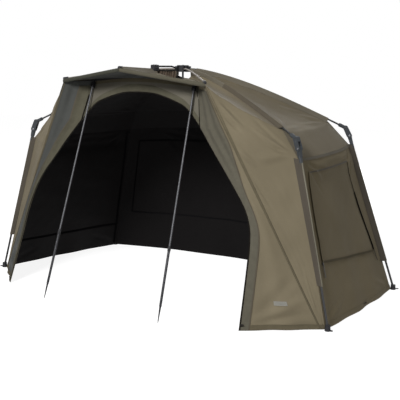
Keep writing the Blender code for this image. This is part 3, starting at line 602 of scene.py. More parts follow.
def finished(made, base, uneven, low, high, normal):
    """The material, with its colour, its normal and its roughness, from low to high, linked."""
    material, tree, shader = made
    rough = spread(tree, uneven, 0.3, 0.7, low, high)
    for name, socket in (("Base Color", base), ("Roughness", rough), ("Normal", normal)):
        tree.links.new(socket, shader.inputs[name])
    return material


def add(tree, kind, settings=None, **inputs):
    node = tree.nodes.new("ShaderNode" + kind)
    for key, value in (settings or {}).items():
        setattr(node, key, value)
    for key, value in inputs.items():
        socket = node.inputs[int(key[1:])] if key[0] == "i" and key[1:].isdigit() else node.inputs[key]
        if isinstance(value, bpy.types.NodeSocket):
            tree.links.new(value, socket)
        else:
            socket.default_value = value
    return node


def maths(tree, operation, first, second=0.0):
    return add(tree, "Math", {"operation": operation}, i0=first, i1=second).outputs[0]


def noise(tree, vector, scale, detail=2.0, roughness=0.5, distortion=0.0):
    shape = dict(Scale=scale, Detail=detail, Roughness=roughness, Distortion=distortion)
    return add(tree, "TexNoise", Vector=vector, **shape).outputs["Fac"]


def spread(tree, value, low, high, to_low, to_high):
    return add(tree, "MapRange", i0=value, i1=low, i2=high, i3=to_low, i4=to_high).outputs[0]


def mix(tree, factor, first, second):
    first, second = (c if isinstance(c, bpy.types.NodeSocket) else (*c, 1.0) for c in (first, second))
    return add(tree, "Mix", {"data_type": "RGBA"}, i0=factor, i6=first, i7=second).outputs[2]


def lines(tree, coordinate, pitch, share):
    """One on thin lines a pitch apart along a coordinate in metres, and zero between them."""
    place_on = maths(tree, "FRACT", maths(tree, "DIVIDE", coordinate, pitch))
    return maths(tree, "LESS_THAN", place_on, share)


def bump(tree, strength, distance, height, **normal):
    return add(tree, "Bump", Strength=strength, Distance=distance, Height=height, **normal).outputs[0]


def coordinates(tree):
    """The cloth's own flat coordinates in metres, together and apart."""
    uv = add(tree, "UVMap", {"uv_map": "Cut"}).outputs[0]
    return uv, *add(tree, "SeparateXYZ", Vector=uv).outputs[:2]


def object_space(tree):
    return add(tree, "TexCoord").outputs["Object"]


def from_edge(tree):
    """The distance to the sheet's nearest edge."""
    return add(tree, "Attribute", {"attribute_name": "edge"}).outputs["Fac"]


def tinted(colour, gain, shift=0.0):
    return tuple(min(1.0, c * gain + shift) for c in colour)


def woven(
    name, colour, roughness=0.78, shift=0.003, slack=0.0022, sheen=0.04, rip=0.006, tone=0.1, shine=0.16
):
    """Coated cloth: thread bumps, ripstop lines, soft crumple, uneven tone and worn edges."""
    gloss = dict(Sheen_Weight=sheen, Sheen_Roughness=0.45, Specular_IOR_Level=shine)
    made = new_material(name, colour, roughness, **gloss)
    tree = made[1]
    uv, x, y = coordinates(tree)
    solid = object_space(tree)
    cloud = noise(tree, solid, 2.6, 3.0, 0.55)
    mottle = noise(tree, solid, 21.0, 3.0, 0.6)
    grain = noise(tree, uv, 620.0, 2.0, 0.6)
    dark, pale = tinted(colour, 1 - tone), tinted(colour, 1 + tone, shift)
    tone_mix = mix(tree, spread(tree, cloud, 0.32, 0.68, 0.0, 1.0), dark, pale)
    mottled = mix(tree, spread(tree, mottle, 0.35, 0.7, 0.0, 0.35), tone_mix, dark)
    ripstop = maths(tree, "MAXIMUM", lines(tree, x, rip, 0.14), lines(tree, y, rip, 0.14))
    threads = mix(tree, maths(tree, "MULTIPLY", ripstop, 0.22), mottled, pale)
    worn = spread(tree, from_edge(tree), 0.0, 0.022, 0.34, 0.0)
    rubbed = maths(tree, "MULTIPLY", worn, spread(tree, mottle, 0.35, 0.65, 0.2, 1.0))
    weave = [
        add(tree, "TexWave", {"bands_direction": axis}, Vector=uv, Scale=190.0, Distortion=0.6).outputs["Fac"]
        for axis in "XY"
    ]
    cloth = maths(tree, "ADD", maths(tree, "MULTIPLY", *weave), maths(tree, "MULTIPLY", ripstop, 0.8))
    crumple = noise(tree, solid, 15.0, 4.0, 0.55, 0.5)
    soft = bump(tree, 0.55, slack, crumple, Normal=bump(tree, 0.35, 0.0003, cloth))
    base = mix(tree, rubbed, threads, pale)
    return finished(made, base, grain, roughness - 0.09, roughness + 0.09, soft)


def taped(name, colour, roughness, stitch_colour, rib=0.0016):
    """Woven tape or webbing with ribs across it and a row of stitches along each edge."""
    made = new_material(name, colour, roughness, Sheen_Weight=0.03, Specular_IOR_Level=0.0)
    tree = made[1]
    uv, _, along = coordinates(tree)
    ribs = add(tree, "TexWave", {"bands_direction": "Y"}, Vector=uv, Scale=1 / rib / 3, Distortion=0.3)
    patchy = noise(tree, object_space(tree), 34.0, 3.0, 0.6)
    base = mix(tree, spread(tree, patchy, 0.3, 0.7, 0.0, 0.5), colour, tinted(colour, 0.72))
    off_row = maths(tree, "ABSOLUTE", maths(tree, "SUBTRACT", from_edge(tree), 0.0028))
    row = maths(tree, "LESS_THAN", off_row, 0.0005)
    stitch = maths(tree, "MULTIPLY", row, lines(tree, along, 0.0042, 0.62))
    base = mix(tree, stitch, base, stitch_colour)
    height = maths(tree, "ADD", ribs.outputs["Fac"], maths(tree, "MULTIPLY", stitch, -2.0))
    dented = bump(tree, 0.5, 0.0004, height)
    return finished(made, base, patchy, roughness - 0.08, roughness + 0.08, dented)


def worn_metal(name, colour, roughness, scratch=0.35):
    """Drawn, anodised tube with fine lines, handling marks and rubbed patches."""
    made = new_material(name, colour, roughness, Metallic=0.85)
    tree = made[1]
    solid = object_space(tree)
    stretched = add(tree, "Mapping", None, Vector=solid, Scale=(1.0, 1.0, 0.04)).outputs[0]
    drawn = noise(tree, stretched, 900.0, 2.0, 0.7)
    marks = noise(tree, solid, 46.0, 4.0, 0.65)
    base = mix(tree, spread(tree, marks, 0.56, 0.74, 0.0, scratch), colour, tinted(colour, 1.7, 0.02))
    scored = bump(tree, 0.25, 0.0002, drawn)
    return finished(made, base, marks, roughness - 0.1, roughness + 0.14, scored)


def moulded(name, colour, roughness):
    """Moulded plastic: fine spark-eroded grain, and lighter dusty and rubbed patches."""
    made = new_material(name, colour, roughness, Specular_IOR_Level=0.2)
    tree = made[1]
    solid = object_space(tree)
    grain = noise(tree, solid, 1500.0, 2.0, 0.6)
    patchy = noise(tree, solid, 58.0, 3.0, 0.6)
    base = mix(tree, spread(tree, patchy, 0.5, 0.75, 0.0, 0.5), colour, tinted(colour, 1.8, 0.012))
    grained = bump(tree, 0.3, 0.0002, grain)
    return finished(made, base, patchy, roughness - 0.08, roughness + 0.12, grained)


def toothed(name, colour, pitch=0.0032):
    """A coil zip: slanted teeth on a dark tape."""
    made = new_material(name, colour, 0.5, Specular_IOR_Level=0.0)
    tree = made[1]
    uv, _, along = coordinates(tree)
    tooth = lines(tree, along, pitch, 0.5)
    base = mix(tree, maths(tree, "MULTIPLY", tooth, 0.6), colour, tinted(colour, 2.4, 0.01))
    uneven = noise(tree, uv, 90.0, 2.0, 0.6)
    return finished(made, base, uneven, 0.38, 0.62, bump(tree, 0.6, 0.0008, tooth))


OLIVE = woven("olive_ripstop", (0.146, 0.122, 0.078), 0.76, 0.004, sheen=0.05, shine=0.18)
# A darker copy of the olive cloth for the side and rear walls: painted shade for walls turned away from the key lamp.
WALL_CLOTH_PAINTED_SHADE = woven("olive_wall_cloth", (0.136, 0.11, 0.063))
# A dark grey copy of the olive cloth: painted shade on the left wing and on the visor's underside.
PAINTED_SHADE_CLOTH = woven("olive_shaded_cloth", (0.052, 0.054, 0.05), slack=0.0024, shine=0.14)
# A darker, greyer copy of the olive cloth for the band over the doorway: painted shade under the visor.
HEADER_CLOTH_PAINTED_SHADE = woven("olive_header_cloth", (0.112, 0.103, 0.08), slack=0.0018)
# A darker copy of the olive cloth for the roofs and the visor's top: painted shade for how the light falls on these
# upper panels.
ROOF_CLOTH_PAINTED_SHADE = woven("olive_roof_cloth", (0.122, 0.102, 0.066), shift=0.004, slack=0.0024)
LINING = woven("black_lining", (0.0064, 0.0056, 0.0057), 0.7, 0.0005, sheen=0.0, shine=0.08)
FLAP = woven("olive_flap", (0.13, 0.106, 0.062), slack=0.0016)
SLEEVE = woven("olive_sleeve", (0.108, 0.095, 0.07), 0.76, 0.004, 0.0012, 0.05, shine=0.2)
# Pale strip on the leg pockets: painted highlight along the lit, rounded top of each pole.
PIPING_PAINTED_HIGHLIGHT = woven("pale_piping", (0.19, 0.176, 0.132), 0.7, 0.006, 0.0006, 0.05, 0.003, shine=0.2)
# Dark brown strips: painted shade beside the front rib's pocket and along the seam at the doorway edging's edge.
BROWN_PAINTED_SHADE = woven("brown_rib_binding", (0.078, 0.066, 0.048), 0.8, 0.004, 0.0012, shine=0.08)
# Dark brown cloth: on the leg pockets it is painted shade for their shaded side; the side window's top line uses it as
# a plain dark tape.
BROWN_CLOTH_AND_PAINTED_SHADE = woven("brown_leg_sleeve", (0.066, 0.056, 0.043), shift=0.004, slack=0.0012)
PLEAT = woven("brown_elastic_cloth", (0.125, 0.092, 0.066), 0.8, 0.004, 0.001, 0.1, 0.004, 0.22, 0.3)
FLANGE = taped("olive_flange", (0.105, 0.097, 0.074), 0.74, (0.08, 0.07, 0.052), 0.0024)
# A darker copy of the edging: painted shade, on the left edging and on the band over the doorway.
FLANGE_PAINTED_SHADE = taped("olive_flange_shaded", (0.09, 0.084, 0.06), 0.76, (0.06, 0.054, 0.042), 0.0024)
BINDING = taped("black_binding", (0.016, 0.015, 0.014), 0.7, (0.05, 0.048, 0.042))
VISOR_HEM = taped("olive_visor_hem", (0.088, 0.081, 0.06), 0.78, (0.06, 0.054, 0.04), 0.0022)
# A darker copy of the visor's hem: painted shade on the left visor.
VISOR_HEM_PAINTED_SHADE = taped("olive_visor_hem_shaded", (0.056, 0.056, 0.044), 0.78, (0.04, 0.038, 0.03), 0.0022)
HEM = taped("olive_tape", (0.112, 0.095, 0.062), 0.76, (0.075, 0.066, 0.048), 0.0022)
WEBBING = taped("dark_webbing", (0.03, 0.026, 0.024), 0.75, (0.075, 0.07, 0.062))
INNER_TAPE = taped("inner_seam_tape", (0.009, 0.0085, 0.0095), 0.6, (0.008, 0.008, 0.008))
LABEL = taped("plain_label", (0.22, 0.215, 0.19), 0.7, (0.3, 0.28, 0.25), 0.0011)
ZIP = toothed("dark_zip", (0.0065, 0.0055, 0.0045))
POLE = worn_metal("dark_pole", (0.042, 0.042, 0.043), 0.5, 0.22)
PALE_POLE = worn_metal("pale_pole", (0.25, 0.225, 0.2), 0.48)
STORM_UPPER = worn_metal("storm_upper", (0.085, 0.085, 0.09), 0.52, 0.2)
STORM_LOWER = worn_metal("storm_lower", (0.032, 0.032, 0.035), 0.48, 0.2)
PLASTIC = moulded("black_moulding", (0.016, 0.016, 0.018), 0.48)
GREY_PLASTIC = moulded("grey_moulding", (0.034, 0.038, 0.042), 0.52)
BRIGHT = worn_metal("bright_screw", (0.17, 0.17, 0.18), 0.3)
ZIP_METAL = worn_metal("zip_slider_metal", (0.05, 0.047, 0.043), 0.42)
SLOT_OF = {
    "storm_upper": "storm_pole_upper_metal",
    "storm_lower": "storm_pole_lower_metal",
    "black_moulding": "hardware_plastic",
    "grey_moulding": "hardware_plastic",
}


# ---- meshes


def linked(name, data):
    obj = bpy.data.objects.new(name, data)
    bpy.context.scene.collection.objects.link(obj)
    return obj


def place(name, mesh, body, slot, soft=None):
    obj = linked(name, mesh)
    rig.slot(obj, slot)
    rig.ride(obj, body)
    if soft:
        joint, axis, anchor, keep = soft
        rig.squash(obj, joint, axis=axis, anchor=anchor, keep=keep)
    return obj


def sheet_mesh(name, grid, materials, thickness=CLOTH, out=None):
    """A thin closed mesh from a grid of points: its outer face, its inner face and the rim."""
    rows, columns = grid.shape[:2]
    total = rows * columns
    normal = unit(np.cross(np.gradient(grid, axis=1), np.gradient(grid, axis=0)))
    turn = np.sign(np.sum(normal * (grid - INSIDE if out is None else np.asarray(out))))
    points = np.concatenate([grid, grid - turn * normal * thickness]).reshape(-1, 3)
    index = np.arange(total).reshape(rows, columns)
    corners = index[:-1, :-1], index[:-1, 1:], index[1:, 1:], index[1:, :-1]
    outer = np.stack([corner.ravel() for corner in corners], axis=1)
    ring = np.concatenate([index[0, :-1], index[:-1, -1], index[-1, :0:-1], index[:0:-1, 0]])
    after = np.roll(ring, -1)
    rim = np.stack([ring, ring + total, after + total, after], axis=1)
    if turn < 0:
        outer, rim = outer[:, ::-1], rim[:, ::-1]
    inner = outer[:, ::-1] + total
    mesh = bpy.data.meshes.new(name)
    mesh.from_pydata(points.tolist(), [], np.concatenate([outer, inner, rim]).tolist())
    for material in materials:
        mesh.materials.append(material)
    faces = np.repeat((0, 1, 2), (len(outer), len(inner), len(rim)))
    mesh.polygons.foreach_set("material_index", np.minimum(faces, len(materials) - 1).astype(np.int32))

    across_run, down_run = (
        np.insert(np.cumsum(np.linalg.norm(np.diff(grid, axis=axis), axis=-1), axis=axis), 0, 0, axis=axis)
        for axis in (1, 0)
    )
    cut = np.stack([across_run - across_run[:, columns // 2, None], down_run], axis=-1).reshape(-1, 2)
    corner = np.empty(len(mesh.loops), np.int32)
    mesh.loops.foreach_get("vertex_index", corner)
    cut = cut[corner % total].ravel().astype(np.float32)
    mesh.uv_layers.new(name="Cut").data.foreach_set("uv", cut)
    runs = across_run, across_run[:, -1:] - across_run, down_run, down_run[-1:] - down_run
    edge = np.tile(np.minimum.reduce(runs).ravel(), 2).astype(np.float32)
    mesh.attributes.new("edge", "FLOAT", "POINT").data.foreach_set("value", edge)
    mesh.update()
    mesh.shade_smooth()
    mesh.set_sharp_from_angle(angle=math.radians(70))
    cells = np.cross(np.diff(grid, axis=1)[:-1], np.diff(grid, axis=0)[:, :-1])
    area = float(np.linalg.norm(cells, axis=-1).sum())
    return mesh, area, (float(across_run[:, -1].max()), float(down_run[-1].max()))


SHEETS = []
SEWN = {}


def cloth_slot(name):
    return "window_cloth" if "window" in name else "shelter_cloth"


def strip(name, grid, material, body, thickness=CLOTH, out=None, soft=None, on=None):
    """A tape, hem, pocket, flap or strap from a grid of points. on names the sheet it is sewn to."""
    mesh = sheet_mesh(name, grid, [material], thickness, out)[0]
    obj = place(name, mesh, body, cloth_slot(name), soft)
    if on:
        SEWN.setdefault(on, []).append(obj)


def sheet(name, grid, body, node, held, rests_on, cloth, soft, lining=LINING):
    """A panel of cloth that stands for a node of the frame."""
    mesh, area, size = sheet_mesh(name, grid, [cloth, lining, HEM])
    obj = place(name, mesh, body, cloth_slot(name), soft)
    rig.replaces(obj, node)
    width, length = (round(value, 3) for value in size)
    share = round(min(max(area, 0.31 * width * length), width * length), 4)
    SHEETS.append((obj, (width, length), share, held, rests_on))


def skinned(name, centres, radii, first, second, sides, sharp, material, body, node):
    """A round body skinned over rings about centres, in place of a node if one is named."""
    turn = np.arange(sides)[:, None] * math.tau / sides
    spokes = np.cos(turn) * first[:, None] + np.sin(turn) * second[:, None]
    bm = bmesh.new()
    rings = [[bm.verts.new(p) for p in ring] for ring in centres[:, None] + radii[:, None, None] * spokes]
    for low, high in zip(rings, rings[1:]):
        for k in range(sides):
            bm.faces.new((low[k], low[(k + 1) % sides], high[(k + 1) % sides], high[k]))
    bm.faces.new(rings[0][::-1])
    bm.faces.new(rings[-1])
    bmesh.ops.recalc_face_normals(bm, faces=bm.faces)
    mesh = bpy.data.meshes.new(name)
    bm.to_mesh(mesh)
    bm.free()
    mesh.materials.append(material)
    mesh.shade_smooth()
    mesh.set_sharp_from_angle(angle=math.radians(sharp))
    obj = place(name, mesh, body, SLOT_OF.get(material.name, "frame_metal"))
    if node:
        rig.replaces(obj, node)


def bar(name, points, radius, material, body, node=None, sides=20):
    """A round bar along a line of points."""
    points = np.asarray(points, float)
    radii = np.full(len(points), radius)
    tangent = unit(np.gradient(points, axis=0))
    first = unit(np.cross(tangent, UP if abs(tangent[0] @ UP) < 0.9 else RIGHT))
    skinned(name, points, radii, first, np.cross(first, tangent), sides, 40, material, body, node)


def turned(name, start, axis, profile, material, body, node=None, sides=20):
    """A turned part: profile is (distance along the axis, radius) pairs."""
    along, radii = np.transpose(profile)
    first = unit(np.cross(axis, RIGHT if abs(axis @ RIGHT) < 0.9 else UP))[None]
    centres = start + along[:, None] * axis
    skinned(name, centres, radii, first, np.cross(axis, first), sides, 35, material, body, node)


# ---- the panels' surfaces


def side_surfaces():
    """The surface and relief of each panel on the right: visor, gore, wing, side roof and wall."""
    peak, centre, diagonal = SEAM["peak"], SEAM["centre"], SEAM["diagonal"]
    opening = hole_arc(centre[0], peak[0], VISOR_HOLE_DIP)
    visor = patch(opening, [centre[-1], peak[-1]], centre, peak, form=roof_form(VISOR_SAG))
    pulls = [((0.0, 0.56), (-20, -48, -72), 0.26, 0.01, 0.0022)]
    yield visor, relief(0.5, [(0.002, 3, 0.3)], fans=pulls)

    rib_part, front_leg, rear_leg = SEAM["front_rib"], SEAM["front_leg"], SEAM["rear_leg"]
    peak_marks = np.linspace(0, GORE_TIP_MARK, len(peak))
    rib_marks = np.linspace(0, GORE_TIP_MARK, len(rib_part))
    gore = patch(
        hole_arc(peak[0], rib_part[0], 0.01),
        [diagonal[-1], front_leg[-1]],
        path([*peak, diagonal[1]], [*peak_marks, 1.0]),
        path([*rib_part, *front_leg], [*rib_marks, GORE_LEG_MARK, 1.0]),
        form=roof_form(GORE_SAG),
    )
    creases = (
        ((0.03, 0.92), (0.15, 1.01), 0.013, 0.0075),
        ((0.02, 0.99), (0.12, 1.05), 0.01, -0.005),
        ((0.00, 1.17), (0.13, 1.22), 0.014, 0.0065),
        ((0.01, 1.27), (0.1, 1.44), 0.012, -0.005),
    )
    pulls = (
        ((0.42, 1.08), (160, 186, 208, 232), 0.3, 0.012, 0.0046),
        ((0.02, 0.8), (24, 58), 0.2, 0.01, 0.002),
        ((0.16, 2.03), (-76, -98), 0.34, 0.014, 0.0016),
    )
    yield gore, relief(0.5, [(0.0034, 11, 0.42), (0.0011, 12, 0.13)], creases, pulls)

    header_end, top = HEADER_END - SEAM_DROP * UP, diagonal[0] - WING_TOP_GAP * UP
    wing = patch(
        [header_end, top],
        [DOOR_CORNER, diagonal[-1]],
        [header_end, *DOOR_SIDE],
        [top, diagonal[1]],
        form=wall_form((0.45, -0.89, 0.0), 0.012, 2),
    )

    def upright(u, v):
        return 0.0085 * np.sin(math.tau * 2.7 * u + 0.7 + 1.6 * v) * np.clip(1 - v / 0.42, 0, 1) ** 0.6

    pulls = [((0.0, 1.45), (-14, -32, -50, -66), 0.42, 0.01, 0.006)]
    yield wing, relief(0.4, [(0.0026, 21, 0.26)], fans=pulls, more=upright)

    side_eave = eave(front_leg[0], rear_leg[0], SIDE_EAVE_BULGE)
    ribs = [SEAM["front_roof"], SEAM["rear_roof"]]
    opening = hole_arc(ribs[0][0], ribs[1][0])
    roof = patch(opening, side_eave, *map(roof_edge, ribs), form=roof_form(SIDE_ROOF_SAG))
    creases = (
        ((0.44, 0.16), (0.49, 0.36), 0.016, -0.008),
        ((0.43, 0.55), (0.49, 0.7), 0.015, -0.0065),
        ((0.02, 0.3), (0.08, 0.55), 0.014, -0.0045),
    )
    pulls = (
        ((0.03, 0.86), (-58, -36, -14), 0.26, 0.011, 0.0042),
        ((0.48, 0.86), (-166, -144, -120), 0.26, 0.011, 0.0042),
    )
    yield roof, relief(0.4, [(0.0032, 31, 0.4), (0.0009, 32, 0.12)], creases, pulls)

    ground = eave(front_leg[-1], rear_leg[-1], SIDE_GROUND_BULGE)
    wall = patch(side_eave, ground, front_leg, rear_leg, form=wall_form((1.0, 0.1, 0.0), -0.01, 3))

    def below_eave(u, v):
        return 0.015 * np.exp(-(((v - 0.095) / 0.05) ** 2))

    pulls = (
        ((0.06, 0.02), (9, 19, 31, 46), 0.34, 0.0085, 0.0062),
        ((0.95, 0.02), (172, 161, 148, 132), 0.3, 0.0085, 0.0055),
        ((0.02, 0.94), (-20, -42), 0.26, 0.011, 0.0045),
        ((0.98, 0.94), (-158, -136), 0.26, 0.011, 0.0045),
    )
    creases = [((0.25, 0.042), (0.86, 0.036), 0.011, 0.006)]
    yield wall, relief(0.4, [(0.0026, 41, 0.34), (0.0008, 42, 0.12)], creases, pulls, below_eave)


def rear_surfaces():
    """The surface and relief of the rear roof, then those of the rear wall."""
    ribs, legs = ([SEAM[key], mirrored(SEAM[key], -1)] for key in ("rear_roof", "rear_leg"))
    rear_eave = eave(legs[0][0], legs[1][0], REAR_EAVE_BULGE)
    opening = hole_arc(ribs[0][0], ribs[1][0], 0.03)
    roof = patch(opening, rear_eave, *map(roof_edge, ribs), form=roof_form(REAR_ROOF_SAG))
    creases = (
        ((0.12, 0.2), (0.07, 0.42), 0.016, -0.0065),
        ((1.02, 0.2), (1.07, 0.42), 0.016, -0.0065),
    )
    yield roof, relief(0.4, [(0.0032, 51, 0.45), (0.0009, 53, 0.13)], creases)

    ground = eave(legs[0][-1], legs[1][-1], REAR_GROUND_BULGE)
    wall = patch(rear_eave, ground, *legs, form=wall_form((0.0, 1.0, 0.0), -0.014, 4))
    pulls = (
        ((0.05, 0.02), (10, 22, 36), 0.4, 0.01, 0.006),
        ((1.85, 0.02), (170, 158, 144), 0.4, 0.01, 0.006),
    )
    yield wall, relief(0.4, [(0.0028, 52, 0.36), (0.0008, 53, 0.13)], fans=pulls)


def header_surface():
    """The surface and relief of the band over the doorway."""
    end, middle = (point - SEAM_DROP * UP for point in (HEADER_END, HEADER_MID))
    surface = patch(
        smooth([mirrored(end, -1), middle, end], 40),
        np.vstack([mirrored(ARCH_HALF[::-1], -1), ARCH_HALF[1:]]),
        mirrored([end, ARCH_END], -1),
        [end, ARCH_END],
    )

    def gather(u, v):
        return 0.0016 * np.sin(math.tau * 11 * u) * np.clip(1 - v * 2.2, 0, 1)

    return surface, relief(0.5, [(0.0014, 61, 0.22)], more=gather)


# ---- the cloth

# The rib that carries each sheet, and the share of its spread that the sheet keeps as the canopy folds
CARRIED = {
    "visor": ("peak", 0.66),
    "gore": ("front", 0.42),
    "wing": ("front", 0.12),
    "roof_front": ("front", 0.51),
    "roof_rear": ("rear", 0.51),
    "wall": ("front", 0.1),
    "window": ("front", 0.1),
    "rear_roof": ("rear", 0.32),
    "rear_wall": ("rear", 0.08),
}
RIB_TIP = {"peak": PEAK_TIP, "front": FRONT_ELBOW, "rear": REAR_ELBOW}


def carrier(label, name, sign):
    rib, keep = CARRIED[label]
    joint = "canopy_fold" if (rib, name) == ("rear", "right") else f"{rib}_rib_fold_{name}"
    axis = across(mirrored(RIB_TIP[rib], sign))
    return f"{rib}_rib_{name}", (joint, tuple(float(c) for c in axis), tuple(float(c) for c in HUB), keep)


def flap_between(first, second, lift, out=None):
    """A grid that bridges a seam, from one sheet's points to the other's, raised along its middle."""
    middle = (first + second) / 2
    normal = unit(np.cross(second - first, unit(np.gradient(middle, axis=0))))
    out = middle - INSIDE if out is None else out
    normal = normal * np.sign(np.sum(normal * out, axis=-1, keepdims=True))
    start, stop = ((end + middle) / 2 + lift * 0.8 * normal for end in (first, second))
    return np.stack([first, start, middle + lift * normal, stop, second], axis=1)


def sleeve_grid(pole, first, second, radius, out):
    """A pocket over a pole, from one sheet's points round the pole to the other's."""
    tangent = unit(np.gradient(pole, axis=0))
    aside = first - second
    aside = unit(aside - np.sum(aside * tangent, axis=-1, keepdims=True) * tangent)
    top = np.cross(tangent, aside)
    top = top * np.sign(np.sum(top * out, axis=-1, keepdims=True))
    arc = np.radians(np.linspace(28, 152, 11))
    over = [pole + radius * (math.cos(a) * aside + math.sin(a) * top) for a in arc]

    def flank(start, stop, steps):
        return [start + (stop - start) * t - 0.0015 * math.sin(math.pi * t) * top for t in steps]

    before = flank(first, over[0], (0.0, 0.3, 0.6, 0.85))
    return np.stack([*before, *over, *flank(over[-1], second, (0.15, 0.4, 0.7, 1.0))], axis=1)


def rib_sleeve(rib, name, sign, first, second, on):
    """The pocket along a rib. first and second are (sheet, u beside the rib, v at the seam's end)."""
    pole = mirrored(rib_line(RIB_TIP[rib], MAIN_BOW, SAMPLES), sign)
    seam = mirrored(SEAM[rib + "_rib"], sign)
    share = np.linspace(0, 1, RIB_SLEEVE_ROWS)
    reach = off_axis(seam[(share * (len(seam) - 1)).round().astype(int)])
    line = np.stack([np.interp(reach, off_axis(pole), pole[:, k]) for k in range(3)], axis=-1)
    edges = [panel.at(u, share * v_end, SLEEVE_LIFT) for panel, u, v_end in (first, second)]
    grid = sleeve_grid(line, *edges, RIB_SLEEVE_RADIUS, UP)
    strip(f"{rib}_rib_sleeve_{name}", grid, SLEEVE, f"{rib}_rib_{name}", THIN, UP, on=f"{on}_{name}")
    return grid


def side(name, sign):
    """The sheets of one side with all that is sewn to them. Its half of the visor is returned."""
    visor, gore, wing, roof, wall = (Sheet(*found, turned=sign < 0) for found in side_surfaces())
    front, rib_end = f"front_rib_{name}", ROOF_CORNER_MARK

    def cut(label, grid, node, held, cloth, rests_on=None, lining=LINING):
        body, soft = carrier(label, name, sign)
        sheet(f"{label}_{name}", grid, body, f"{node}_{name}", held, rests_on or body, cloth, soft, lining)

    def sew(label, like, grid, material, thickness=CLOTH, out=None, on="same"):
        """A strip that moves like a sheet, and is sewn to it unless on says otherwise."""
        body, soft = carrier(like, name, sign)
        on = like if on == "same" else on
        strip(f"{label}_{name}", grid, material, body, thickness, out, soft, on and f"{on}_{name}")

    # The visor's olive underside and the left wing take the dark copy of the olive, which is painted shade.
    cut("visor", visor.grid(), "peak_visor", "stretched", ROOF_CLOTH_PAINTED_SHADE, lining=PAINTED_SHADE_CLOTH)
    cut("gore", gore.grid(), "front_gore", "stretched", OLIVE)
    cut("wing", wing.grid(cell=0.007), "front_wing", "hung", OLIVE if sign > 0 else PAINTED_SHADE_CLOTH)
    cut("roof_front", roof.grid((0.0, 0.5)), "side_roof_front", "stretched", ROOF_CLOTH_PAINTED_SHADE)
    cut("roof_rear", roof.grid((0.5, 1.0)), "side_roof_rear", "stretched", ROOF_CLOTH_PAINTED_SHADE)
    cut("wall", wall.grid(), "side_wall", "hung", WALL_CLOTH_PAINTED_SHADE)
    cut("window", wall.quad(WINDOW, WINDOW_LIFT), "side_window", "hung", FLAP, f"wall_{name}")

    # Pockets over the ribs
    grid = rib_sleeve("front", name, sign, (gore, 0.93, GORE_TIP_MARK), (roof, 0.055, rib_end), "gore")
    # A dark brown strip over the gore's side of the front rib's pocket: painted shade of the ridge.
    grid = grid[RIB_PAINTED_SHADE] + 0.0012 * UP
    strip(f"front_rib_binding_{name}", grid, BROWN_PAINTED_SHADE, front, THIN, UP, on=f"gore_{name}")
    second = (REAR_ROOF, 0.028 if sign > 0 else 0.972, rib_end)
    rib_sleeve("rear", name, sign, (roof, 0.945, rib_end), second, "roof_rear")

    # Pockets over the legs, from the sheet before each leg to the sheet behind it; their dark brown is painted shade
    # and their pale strip a painted highlight
    wall_u = 0.018 if sign > 0 else 0.982
    for end, pin, foot, on, panel, u, v_start, behind, behind_u in (
        ("front", FRONT_PIN, FRONT_FOOT, "gore", gore, 0.935, GORE_LEG_MARK, wall, 0.03),
        ("rear", REAR_PIN, REAR_FOOT, "wall", wall, 0.968, 0.0, REAR_WALL, wall_u),
    ):
        pin, foot = mirrored(pin, sign), mirrored(foot, sign)
        t = np.linspace(0.004, LEG_SLEEVE_END[end], 60)
        top = pin + unit(foot - pin) * CUTOUT_ON_LEG
        line = top + (foot - top) * t[:, None]
        first = panel.at(u, v_start + (1 - v_start) * t, SLEEVE_LIFT)
        out = outward(foot)
        grid = sleeve_grid(line, first, behind.at(behind_u, t, SLEEVE_LIFT), LEG_RADIUS + 0.0022, out)
        body, on = f"{end}_leg_{name}", f"{on}_{name}"
        strip(f"{end}_leg_sleeve_{name}", grid, BROWN_CLOTH_AND_PAINTED_SHADE, body, THIN, out, on=on)
        # A pale strip over the pocket's rounded top: painted highlight.
        strip(f"{end}_leg_painted_highlight_{name}", grid[:, LEG_HIGHLIGHT_COLUMNS] + 0.0012 * out, PIPING_PAINTED_HIGHLIGHT, body, THIN, out, on=on)

    # The visor's hem, rolled round its edge, and the seam beside it; the left hem is darker, with painted shade
    hem = visor.at(np.linspace(0, 1, 40), 1.0)
    ahead = unit(np.array((0.35 * sign, -0.93, 0.0)))
    grid = np.stack([hem + ahead * out + UP * rise for out, rise in VISOR_CURL], axis=1)
    sew("visor_hem", "visor", grid, VISOR_HEM if sign > 0 else VISOR_HEM_PAINTED_SHADE, out=ahead)
    t = np.linspace(0, 1, 50)
    grid = flap_between(visor.at(0.965, t), gore.at(0.035, t * GORE_TIP_MARK), 0.003, UP)
    strip(f"peak_seam_{name}", grid, HEM, f"peak_rib_{name}", THIN, UP, on=f"visor_{name}")

    # The doorway's edging and zip; the left edging is darker, with painted shade
    t = np.linspace(0.02, 1, 110)
    span = wing.span(t)
    upper = np.maximum(span - FLANGE_GAP, FLANGE_WIDTH) if sign > 0 else FLANGE_SHADED_WIDTH
    narrowing = np.clip((t - FLANGE_NARROWS[0]) / (FLANGE_NARROWS[1] - FLANGE_NARROWS[0]), 0, 1)
    reach = upper + (FLANGE_WIDTH - upper) * narrowing**2 * (3 - 2 * narrowing)
    grid = wing.at(np.linspace(0.02, 1, 14) * (reach / span)[:, None], t[:, None], DOOR_LIFTS[0])
    sew("door_flange", "wing", grid, FLANGE if sign > 0 else FLANGE_PAINTED_SHADE, STOUT)
    # A dark strip along the edging's outer edge: a seam line darkened with painted shade.
    seam = reach[:, None] + np.array((-0.005, 0.0, 0.0022))
    grid = wing.at(seam / span[:, None], t[:, None], DOOR_LIFTS[1])
    sew("flange_seam", "wing", grid, BROWN_PAINTED_SHADE)
    sew("door_zip", "wing", wing.band("left", *ZIP_BAND, 0.06), ZIP)

